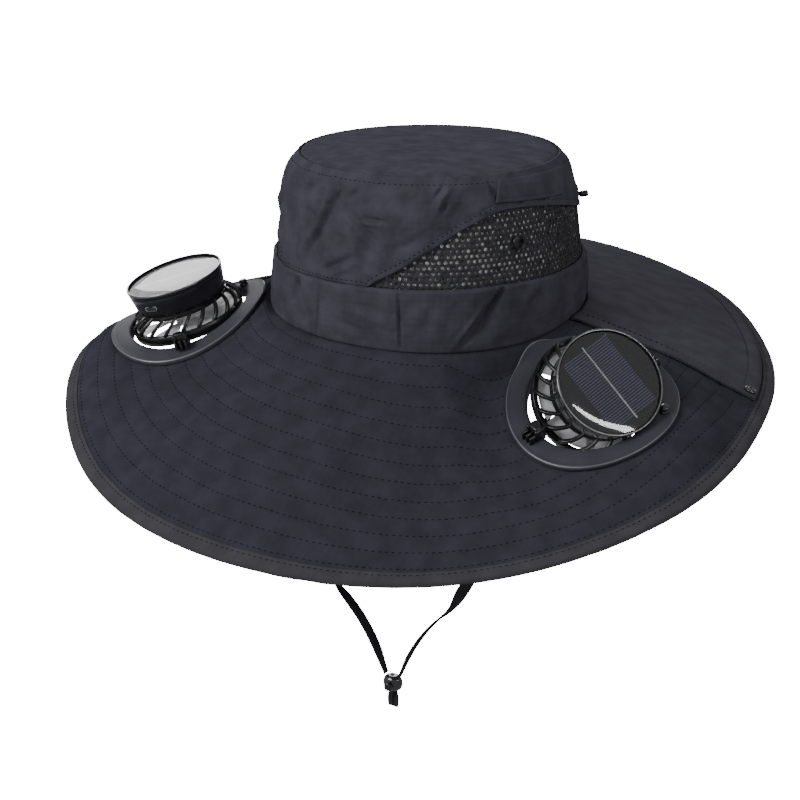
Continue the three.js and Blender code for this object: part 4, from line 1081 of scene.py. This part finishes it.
def from_a_row(share):
    """Distance to the nearest stitch row, in millimetres."""
    return np.abs(np.asarray(share)[..., None] - np.array(stitch_shares())).min(-1) * BRIM_WIDTH


def quilt(share):
    """Height of the padded cloth between its stitch rows, in millimetres."""
    return 0.42 * (1 - np.exp(-from_a_row(share) / 1.9)) - 0.14


def brim_relief(points, share):
    """Quilting, with puckers along the stitch rows and a slow unevenness."""
    pucker = rough(points + 50, 7, 2) * np.exp(-from_a_row(share) / 3.0)
    slow = rough(points, 70, 2)
    return quilt(share) + 0.28 * pucker + 0.5 * slow * smooth(share / 0.1) * smooth((0.95 - share) / 0.1)


def under_relief(points, share):
    return -quilt(share)


def brim_sheet(columns, stations, relief, up, flip):
    """One skin of the brim, with its edge round each fan's hole drawn out to the flange's lip."""
    turn = -180 + np.arange(columns) * 360 / columns
    limit = binding_share(turn)[None] + 0.01
    share = np.minimum(np.broadcast_to(stations[:, None], (len(stations), columns)), limit)
    points = brim_point(np.broadcast_to(turn, share.shape), share, up)
    points[..., 2] += relief(points, share)
    faces = grid_faces(columns, len(stations), wrap_columns=True)
    flat = points.reshape(-1, 3)
    hole = OPENING_RADIUS + LIP_WALL + 0.5
    for seat in SEATS:
        away, along = seat_shift(seat, flat[:, 0], flat[:, 1])
        radius = np.hypot(away, along) * FLANGE_RADIUS
        faces = faces[~(radius[faces] < hole).all(1)]
        used = np.zeros(len(flat), bool)
        used[faces.ravel()] = True
        pull = used & (radius < hole)
        grow = (hole / radius[pull])[:, None]
        middle = seat["middle"][:2]
        flat[pull, :2] = middle + (flat[pull, :2] - middle) * grow
        flat[pull, 2] = brim_height(flat[pull, 0], flat[pull, 1]) + up
    return flat, faces[:, ::-1] if flip else faces


def brim():
    pile = Pile()
    pile.add(*brim_sheet(BRIM_COLUMNS, row_stations(True), brim_relief, 0.0, False))
    pile.add(*brim_sheet(BRIM_COLUMNS // 2, row_stations(False), under_relief, -BRIM_CLOTH, True))
    return pile.make("brim_cloth", [BRIM_CLOTH_LOOK], "hat", ["brim"])


def in_a_flange(points, margin=0.5):
    inside = np.zeros(len(points), bool)
    for seat in SEATS:
        away, along = seat_shift(seat, points[:, 0], points[:, 1])
        inside |= np.hypot(away, along) * FLANGE_RADIUS < FLANGE_RADIUS + margin
    return inside


def dashes(pile, line, normals, thread, slot=0):
    """Thread laid along a line in short stitches, each a thin spindle half sunk in the cloth."""
    pitch, length, radius = thread
    steps = np.linalg.norm(np.diff(line, axis=0), axis=1)
    at = np.concatenate([[0], np.cumsum(steps)])
    count = int(at[-1] / pitch)
    if count < 1:
        return

    def read(places, table):
        return np.stack([np.interp(places, at, table[:, k]) for k in range(3)], 1)

    starts = (np.arange(count) + 0.5) * at[-1] / count
    middle = read(starts, line)
    tail = read(starts - length / 2, line)
    tip = read(starts + length / 2, line)
    up = unit(read(starts, normals)) * radius
    side = unit(np.cross(tip - tail, up)) * radius
    points = np.stack([tail - up * 0.4, middle + side, middle + up, middle - side, middle - up,
                       tip - up * 0.4], 1)
    near = [(0, 2, 1), (0, 3, 2), (0, 4, 3), (0, 1, 4)]
    far = [(5, 1, 2), (5, 2, 3), (5, 3, 4), (5, 4, 1)]
    shift = np.arange(count)[:, None, None] * 6
    pile.add(points, (np.array(near + far)[None] + shift).reshape(-1, 3), slot)


def upright(line, sign=1):
    return np.tile((0.0, 0.0, float(sign)), (len(line), 1))


def runs_of(keep):
    """The stretches of a line that are kept, as pairs of first and last index."""
    edges = np.flatnonzero(np.diff(np.concatenate([[0], keep.astype(int), [0]])))
    return [(a, b) for a, b in zip(edges[::2], edges[1::2]) if b - a > 4]


def brim_stitches():
    """Thread on the brim, above it only in front of the neck flap."""
    pile = Pile()
    turn = np.linspace(-180, 180, 1441)
    for share in stitch_shares():
        shares = np.full(len(turn), share)
        for up, sign in ((0.0, 1), (-BRIM_CLOTH, -1)):
            line = brim_point(turn, shares, up)
            relief = brim_relief(line, shares) if sign > 0 else -quilt(shares)
            line[:, 2] += relief + sign * 0.1
            keep = ~in_a_flange(line)
            if sign > 0:
                keep &= np.abs(turn) < FLAP_FRONT + 1
            for a, b in runs_of(keep):
                dashes(pile, line[a:b], upright(line[a:b], sign), BRIM_THREAD)
    return pile.make("brim_stitches", [THREAD_SHADE_LOOK], "hat", ())


def brim_binding():
    """Tape folded over the brim's edge, with its stitch row."""
    turn = -180 + np.arange(BRIM_COLUMNS) * 360 / BRIM_COLUMNS
    width = (1 - binding_share(turn))[None]
    under = -BRIM_CLOTH
    section = [(0.0, 0.12), (0.02, 0.5), (0.1, 0.62), (0.22, 0.5), (0.3, 0.42), (0.38, 0.55), (0.6, 0.72),
               (0.82, 0.6), (0.93, 0.3), (0.985, -0.3), (1.0, under / 2), (0.985, under + 0.3),
               (0.93, under - 0.3), (0.7, under - 0.6), (0.38, under - 0.5), (0.3, under - 0.4),
               (0.1, under - 0.6), (0.0, under - 0.12)]
    along, up = np.array(section).T[..., None]
    share = 1 - width * (1 - along)
    points = brim_point(np.broadcast_to(turn, share.shape), share, up)
    ripple = 0.25 * rough(points + 70, 11, 2)
    points[..., 2] += ripple * np.sign(up - under / 2)
    pile = Pile()
    pile.add(points, grid_faces(BRIM_COLUMNS, len(section), wrap_columns=True, wrap_rows=True))
    turn = np.linspace(-180, 180, 1441)
    share = 1 - (1 - binding_share(turn)) * 0.7
    for up_by, sign in ((0.42, 1), (under - 0.42, -1)):
        line = brim_point(turn, share, up_by + sign * 0.12)
        dashes(pile, line, upright(line, sign), HEM_THREAD, slot=1)
    looks = [BINDING_LOOK, THREAD_SHADE_LOOK]
    return pile.make("brim_binding_tape", looks, "hat", ["brim_binding"])


# Width of the flap's hem, in millimetres
FLAP_HEM = 8.0


def flap_edge(outward):
    return FLAP_FRONT + FLAP_SWEEP * outward


def flap_stitches(pile):
    """Thread along the flap's two front edges and its rim."""
    lines = []
    for sign in (1, -1):
        outs = np.linspace(0.02, 0.985, 160)
        turns = sign * (flap_edge(outs) + np.degrees(FLAP_HEM / (90 + outs * 120)))
        lines.append((turns, mix(2 * BAND_PROUD / brim_run(turns), binding_share(turns) - 0.005, outs)))
    turns = np.linspace(flap_edge(1) + 2.5, 360 - flap_edge(1) - 2.5, 700)
    lines.append((turns, binding_share(turns) - 2 * SEAM_GAP / BRIM_WIDTH - FLAP_HEM / brim_run(turns)))
    for turns, shares in lines:
        line = brim_point(turns, shares, FLAP_LIFT + FLAP_CLOTH - 0.2)
        dashes(pile, line, upright(line), HEM_THREAD, slot=1)


def neck_flap():
    """The smooth second layer over the back half, with hemmed edges."""
    columns, rows = 420, 60
    along = np.linspace(0, 1, columns)[None]
    outward = np.linspace(0, 1, rows)[:, None]
    front = flap_edge(outward)
    turn = mix(front, 360 - front, along)
    end = binding_share(turn) - 2 * SEAM_GAP / BRIM_WIDTH
    share = mix(2 * BAND_PROUD / brim_run(turn), end, outward)
    under = brim_point(turn, share, FLAP_LIFT)
    side = np.minimum(along, 1 - along) * 2 * np.radians(94) * (90 + share * 120)
    edge = np.minimum(side, (1 - outward) * 120)
    hem = 0.35 * smooth((FLAP_HEM + 1.5 - edge) / 1.2) - 0.22 * np.exp(-((edge - FLAP_HEM) / 0.6) ** 2)
    soft = 0.9 * rough(under, 85, 2) + 0.25 * rough(under + 400, 20, 3)
    soft = soft * smooth(edge / 14) * smooth(outward / 0.08)
    lip = -0.5 * (1 - rounded(edge / 0.9))
    top = under.copy()
    top[..., 2] += FLAP_CLOTH - 0.35 + hem + np.clip(soft, -0.7, 1.4) + lip
    pile = Pile()
    pile.add(np.concatenate([top, under[::-1]]), shell_faces(columns, rows))
    flap_stitches(pile)
    return pile.make("neck_flap_cloth", [FLAP_LOOK, THREAD_SHADE_LOOK], "hat", ["neck_flap"])


def flap_snap(name, sign):
    """A snap stud at the flap's front corner, flat on the cloth."""
    turn = sign * (FLAP_FRONT + FLAP_SWEEP + 1.6)
    lift = FLAP_LIFT + FLAP_CLOTH
    middle = brim_point(turn, 0.9, lift)
    further = brim_point(turn + 2, 0.9, lift)
    outer = brim_point(turn, 0.93, lift)
    normal = unit(np.cross(further - middle, outer - middle))
    normal = normal * np.sign(normal[2])
    x = unit(np.cross((0.0, 1.0, 0.0), normal))
    where = dict(at=middle + normal * 0.45, x=x, y=np.cross(normal, x), z=normal)
    rows = [(3.3, -0.3), (3.4, 0.2), (3.2, 0.65), (2.7, 0.95), (2.2, 0.8), (2.0, 0.45), (1.85, 0.45),
            (1.75, 1.1), (1.5, 1.35), (1.0, 1.4), (0.85, 1.1), (0.8, 0.2), (0, 0.15)]
    turned_piece(f"snap_stud_{name}", DARK_METAL_LOOK, "hat", f"snap_{name}", rows, 40, where)


# Fan pieces


FLANGE_SIDES = 160


def flange(seat):
    """The collar round the fan's hole, with a painted highlight: a lighter look on its rounded edge."""
    side = seat["side"]
    rows = [(35.5, -5.0), (35.5, -0.2), (35.7, 0.7), (36.2, 1.3), (37.0, 1.65), (38.2, 1.8), (41, 1.85),
            (44.0, 1.75), (45.4, 1.55), (46.0, 1.75), (46.6, 1.7), (47.1, 1.2), (47.3, 0.5), (47.25, -0.6),
            (46.8, -1.25), (45.5, -1.3), (37.4, -0.6), (37.0, -1.2), (37.0, -5.0)]
    highlight_row = 10
    angles = np.arange(FLANGE_SIDES) * 2 * math.pi / FLANGE_SIDES
    away, up = np.array(rows).T[..., None]
    points = seat_point(seat, away, angles[None], up + 0 * angles)
    pile = Pile()
    pile.add(points, grid_faces(FLANGE_SIDES, len(rows), wrap_columns=True, wrap_rows=True))
    pile.paint(range(highlight_row, highlight_row + 1), FLANGE_SIDES, 1)
    return pile.make(f"flange_ring_{side}", [FLANGE_LOOK, EDGE_HIGHLIGHT_LOOK], "hat", [f"flange_{side}"],
                     50)


# Prongs of a bearing block: where each one's middle lies, half its width and its length
PRONG_PLACES = (-2.9, 0.0, 2.9)
PRONG_HALF = 0.75
PRONG_LENGTH = 3.6

# Level of a bearing block's foot, under the pin
BLOCK_FOOT = -3.6


def add_block(pile, where, x, y, top, radius):
    """A block from its foot up to its top, with rounded upright edges and an eased upper edge."""
    outline = np.array(round_corner((x[0], y[0]), (x[1], y[1]), radius, 3))
    middle = np.array([(x[0] + x[1]) / 2, (y[0] + y[1]) / 2])
    half = np.array([(x[1] - x[0]) / 2, (y[1] - y[0]) / 2])
    rings = []
    for z, inset in ((BLOCK_FOOT, 0.0), (top - 0.5, 0.0), (top - 0.15, 0.2), (top, 0.55)):
        flat = middle + (outline - middle) * (1 - inset / half)
        rings.append(np.column_stack([flat, np.full(len(flat), z)]))
    pile.add(in_frame(where, np.concatenate(rings)), grid_faces(len(outline), 4, wrap_columns=True))
    lid = np.vstack([rings[-1], (*middle, top + 0.02)])
    pile.add(in_frame(where, lid), fan_faces(len(outline)))


def hinge_block(seat, end, name, node):
    """A bearing block: a rounded body between two cheeks, three prongs and a bored boss."""
    where = unit_frame(seat, 0)
    near, far = end * BLOCK_START, end * (BLOCK_START + BLOCK_LENGTH)
    low, high = sorted((near, far))
    pile = Pile()
    add_block(pile, where, (-4.2, -2.2), (low, high), BLOCK_TOP - 0.4, 0.6)
    add_block(pile, where, (2.2, 4.2), (low, high), BLOCK_TOP - 0.4, 0.6)
    add_block(pile, where, (-3.0, 3.0), (low + 0.9, high - 0.9), BLOCK_TOP, 0.9)
    reach = sorted((far - end * 1.2, far + end * PRONG_LENGTH))
    for x in PRONG_PLACES:
        add_block(pile, where, (x - PRONG_HALF, x + PRONG_HALF), reach, 1.4, 0.5)
    rows = [(1.55, 0), (2.6, 0), (2.8, 0.3), (2.8, 2.0), (2.5, 2.3), (1.6, 2.3), (1.55, 0)]
    boss, faces = lathe([(radius, BLOCK_START + 0.15 + at) for radius, at in rows], 28)
    pile.add(in_frame(where, lain_over(boss, end)), faces)
    return pile.make(name, [SATIN_LOOK], "hat", [node], 40)


def stop_knob(seat):
    """The small stop, which stands on the flange's plate."""
    side = seat["side"]
    turn = math.radians(KNOB_TURN)
    where = unit_frame(seat, 0)
    spot = in_frame(where, np.array([KNOB_DISTANCE * math.cos(turn), KNOB_DISTANCE * math.sin(turn), 0.0]))
    ground = (brim_height(spot[0], spot[1]) + SEAT_GAP - spot[2]) * seat["normal"][2] + FLANGE_PLATE
    rows = [(2.6, 0.1), (2.6, 1.2), (2.1, 1.6), (2.1, 2.0), (2.45, 2.3), (2.4, 3.2), (2.0, 3.8),
            (1.0, 4.0), (0, 4.0)]
    rows = [(radius, height + ground) for radius, height in rows]
    turned_piece(f"stop_knob_{side}", GLOSS_LOOK, "hat", f"knob_{side}", rows, 32,
                 dict(where, at=spot))


def add_ribs(pile, where, top):
    """Slanted ribs that arch from the base ring in to the top ring."""
    share = np.linspace(0, 1, 15)
    height = mix(0.6, top - 0.9, share)
    radius = mix(31.9, 25.3, share ** 2.1) + 0.9 * np.sin(np.pi * share)
    thin = (1 - 0.25 * share)[:, None]
    section = np.array(round_corner((-1.1, -1.1), (1.1, 1.0), 0.5, 2))
    for i in range(RIB_COUNT):
        angle = math.radians(i * 360 / RIB_COUNT) + np.radians(RIB_SLANT) * share ** 1.3
        path = np.stack([radius * np.cos(angle), radius * np.sin(angle), height], 1)
        along = unit(np.gradient(path, axis=0))
        out = np.stack([np.cos(angle), np.sin(angle), 0 * angle], 1)
        wide = unit(np.cross(along, out))
        points, faces = tube(path, wide * thin, unit(np.cross(wide, along)), section)
        pile.add(in_frame(where, points), faces)


def cage(side, where):
    """Base ring, slanted arched ribs, top ring and the two pins."""
    top = HEAD_BASE - SEAM_GAP
    low = RING_TOP - RING_HEIGHT
    base = [(30.3, low + 0.2), (30.6, low), (32.3, low), (32.7, low + 0.4), (33.2, -1.0), (33.2, 0.9),
            (32.8, 1.35), (31.4, RING_TOP), (30.5, 1.2), (30.2, 0.6), (30.3, low + 0.2)]
    neck = [(24.0, top - 2.6), (26.3, top - 2.6), (26.6, top - 2.2), (26.45, top - 1.0), (26.0, top - 0.9),
            (26.0, top), (24.0, top), (24.0, top - 2.6)]
    pin = [(0, PIN_REACH), (PIN_RADIUS - 0.3, PIN_REACH), (PIN_RADIUS, PIN_REACH - 0.3),
           (PIN_RADIUS, 33.8), (2.4, 33.6), (2.6, 33.0), (2.6, 31.8)]
    pile = Pile()
    for profile in (base, neck):
        points, faces = lathe(profile, 120)
        pile.add(in_frame(where, points), faces)
    add_ribs(pile, where, top)
    for end in (1, -1):
        points, faces = lathe(pin, 24)
        pile.add(in_frame(where, lain_over(points, end)), faces)
    return pile.make(f"cage_basket_{side}", [SATIN_LOOK], f"fan_{side}", [f"cage_{side}"],
                     45)


HEAD_SIDES = 144
DISH_FLOOR = HEAD_BASE + HEAD_HEIGHT - CELL_THICK - COVER_THICK - 2 * SEAM_GAP


def housing_radius(level):
    return mix(HEAD_FOOT, HEAD_RADIUS, (level - HEAD_BASE) / HEAD_HEIGHT)


def head(side, where):
    """The motor housing: tapered side with a groove near the top, a rim plated lighter as a painted
    highlight, and the dish for the cell.
    """
    low, top = HEAD_BASE, HEAD_BASE + HEAD_HEIGHT
    rows = [(0, low - BOSS_DROP), (5.9, low - BOSS_DROP), (6.5, low - 0.7), (6.5, low), (25.2, low),
            (25.9, low + 0.15), (26.35, low + 0.7), (26.9, low + 3.5), (27.7, low + 8), (28.1, top - 4.35),
            (28.12, top - 4.1), (27.75, top - 3.95), (27.75, top - 3.6), (28.2, top - 3.45),
            (28.3, top - 3.2), (28.55, top - 1.6), (HEAD_RADIUS, top - 1.2), (HEAD_RADIUS, top - 0.5),
            (28.6, top - 0.15), (28.25, top), (27.7, top - 0.02), (27.45, top - 0.25), (27.35, top - 0.6),
            (27.35, DISH_FLOOR), (0, DISH_FLOOR)]
    rim_start, dish_start, last = len(rows) - 9, len(rows) - 5, len(rows) - 1
    points, faces = lathe(rows, HEAD_SIDES)
    pile = Pile()
    pile.add(in_frame(where, points), faces)
    # The rim's lighter plated look is a painted highlight
    pile.paint(range(rim_start, dish_start), HEAD_SIDES, 1)
    pile.paint(range(dish_start, last), HEAD_SIDES, 2)
    looks = [GLOSS_LOOK, RIM_HIGHLIGHT_LOOK, DISH_LOOK]
    return pile.make(f"head_housing_{side}", looks, f"fan_{side}", [f"head_{side}"], 50)


def add_loops(pile, where, sizes, slot):
    """Long rounded loops on the housing's side, one behind another, and a cap on the last."""
    turn = math.radians(PORT_TURN)
    out = np.array([math.cos(turn), math.sin(turn), 0.0])
    across = np.array([-math.sin(turn), math.cos(turn), 0.0])
    rings = []
    for width, height, depth in sizes:
        corner = np.array([width / 2, height / 2])
        outline = np.array(round_corner(-corner, corner, height / 2 - 0.01, 6))
        rings.append(outline[:, :1] * across + outline[:, 1:] * (0, 0, 1.0) + out * depth
                     + (0, 0, PORT_LEVEL))
    faces = grid_faces(len(rings[0]), len(rings), wrap_columns=True)
    pile.add(in_frame(where, np.concatenate(rings)), faces, slot)
    pile.add_cap(in_frame(where, rings[-1]), slot)


def charge_port(side, where):
    """A metal shell with rounded ends, its dark mouth and tongue."""
    face = housing_radius(PORT_LEVEL)
    shell = [(8.6, 3.2, face - 2), (8.6, 3.2, face + 0.12), (8.3, 2.9, face + 0.22),
             (7.7, 2.3, face + 0.2), (7.5, 2.1, face)]
    mouth = [(7.4, 2.0, face + 0.12), (7.2, 1.8, face + 0.14)]
    tongue = [(5.4, 0.7, face - 1), (5.4, 0.7, face + 0.2), (5.2, 0.5, face + 0.24)]
    pile = Pile()
    for slot, sizes in enumerate((shell, mouth, tongue)):
        add_loops(pile, where, sizes, slot)
    return pile.make(f"charge_port_{side}", [METAL_LOOK, GLOSS_LOOK, SATIN_LOOK], f"fan_{side}",
                     [f"port_{side}"], 45)


# The cell: how many fine lines it has, half a line's width, half the bright bar's, and its turn
CELL_LINES = 30
LINE_HALF = 0.17
BUSBAR_HALF = 0.45
CELL_TURN = 5

# The cover is flat as far as this radius, and beyond it falls with the square of the distance
COVER_FLAT = 15
COVER_CURVE = 0.0078
COVER_RADIUS = 27.1


def add_slab(pile, where, half_x, half_y, z, slot, shift=0.0):
    """A thin box, turned as the cell is; shift moves it along the cell's length."""
    c, s = math.cos(math.radians(CELL_TURN)), math.sin(math.radians(CELL_TURN))
    corners = ((-1, -1), (1, -1), (1, 1), (-1, 1))
    points = np.array([(shift + half_x * i, half_y * j, level) for level in z for i, j in corners])
    turned = np.column_stack([points[:, 0] * c - points[:, 1] * s, points[:, 0] * s + points[:, 1] * c,
                              points[:, 2]])
    faces = [(0, 3, 2, 1), (4, 5, 6, 7), (0, 1, 5, 4), (1, 2, 6, 5), (2, 3, 7, 6), (3, 0, 4, 7)]
    pile.add(in_frame(where, turned), faces, slot)


def solar_cell(side, where):
    """The wafer with its fine lines and the bright bar through its middle."""
    half_x, half_y = CELL_LENGTH / 2, CELL_WIDTH / 2
    level = DISH_FLOOR + CELL_THICK
    pile = Pile()
    add_slab(pile, where, half_x, half_y, (DISH_FLOOR + 0.1, level), 0)
    for shift in np.linspace(-half_x + 0.7, half_x - 0.7, CELL_LINES):
        add_slab(pile, where, LINE_HALF, half_y - 0.3, (level, level + 0.03), 1, shift)
    add_slab(pile, where, half_x + 1.5, BUSBAR_HALF, (level, level + 0.08), 2)
    return pile.make(f"cell_wafer_{side}", [CELL_LOOK, LINE_LOOK, BUSBAR_LOOK], f"fan_{side}",
                     [f"solar_cell_{side}"], 30)


def cover(side, where):
    """The clear disc, flat in the middle and rounded down towards its edge."""
    top = HEAD_BASE + HEAD_HEIGHT + 0.25
    under = top - 1.55
    rows = [(0, under), (COVER_RADIUS, under)]
    for share in (1, 0.85, 0.7, 0.55, 0.4, 0.25, 0.1, 0):
        beyond = (COVER_RADIUS - COVER_FLAT) * share
        rows.append((COVER_FLAT + beyond, top - COVER_CURVE * beyond ** 2))
    rows.append((0, top))
    turned_piece(f"cover_disc_{side}", CLEAR_LOOK, f"fan_{side}", f"cover_{side}", rows,
                 HEAD_SIDES, where, 50)


def impeller(side, where):
    """The hub and its low, wide blades, each swept along a part of the circle and rising with it."""
    top = HEAD_BASE - BOSS_DROP - SEAM_GAP
    low = top - HUB_HEIGHT
    pile = Pile()
    hub = [(0, low), (5.6, low), (7.4, low + 0.3), (HUB_RADIUS, low + 1.0), (HUB_RADIUS, top - 0.6),
           (7.5, top), (0, top)]
    points, faces = lathe(hub, 60)
    pile.add(in_frame(where, points), faces)
    columns, rows = 13, 13
    along = np.linspace(0, 1, columns)[None]
    outward = np.linspace(0, 1, rows)[:, None]
    radius = mix(HUB_RADIUS - 1.0, BLADE_RADIUS, outward) + 0 * along
    camber = 0.4 * np.sin(np.pi * along) * outward
    climb = (BLADE_HEIGHT - BLADE_THICK) * 0.94 * mix(0.5, along, mix(0.6, 1, outward))
    height = low + 0.5 + camber + climb
    thick = BLADE_THICK * (0.25 + 0.75 * np.sin(np.pi * np.clip(along, 0.04, 0.96)) ** 0.5)
    for i in range(BLADE_COUNT):
        angle = np.radians(i * 360 / BLADE_COUNT + BLADE_SWEEP * (along - 0.5) + 10 * outward)
        lower = np.stack([radius * np.cos(angle), radius * np.sin(angle), height], -1)
        upper = np.stack([lower[..., 0], lower[..., 1], height + thick], -1)
        both = np.concatenate([upper, lower[::-1]])
        pile.add(in_frame(where, both), shell_faces(columns, rows))
    return pile.make(f"impeller_wheel_{side}", [BLADE_LOOK], f"impeller_{side}", [f"impeller_{side}"],
                     45)


# Everything

make_camera()
make_world()
make_lights()
make_floor()
chin_strap()

crown_side()
crown_band()
crown_top()
side_patch()
crown_stitches()
rear_toggle()
for net_side, eyelet_turn in (("left", 60), ("right", -96)):
    crown_net(net_side)
    eyelet(net_side, eyelet_turn)

brim()
brim_stitches()
brim_binding()
neck_flap()
flap_snap("left", 1)
flap_snap("right", -1)

for fan_seat in SEATS:
    fan_side = fan_seat["side"]
    flange(fan_seat)
    hinge_block(fan_seat, 1, f"bearing_front_{fan_side}", f"hinge_front_{fan_side}")
    hinge_block(fan_seat, -1, f"bearing_back_{fan_side}", f"hinge_back_{fan_side}")
    stop_knob(fan_seat)
    fan_frame = unit_frame(fan_seat, fan_seat["tilt"])
    for make_piece in (cage, head, charge_port, solar_cell, cover, impeller):
        make_piece(fan_side, fan_frame)

boxes = {"cad": CAD_BOX, "visual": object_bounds()}
boxes = {name: [[float(v) for v in corner] for corner in pair] for name, pair in boxes.items()}
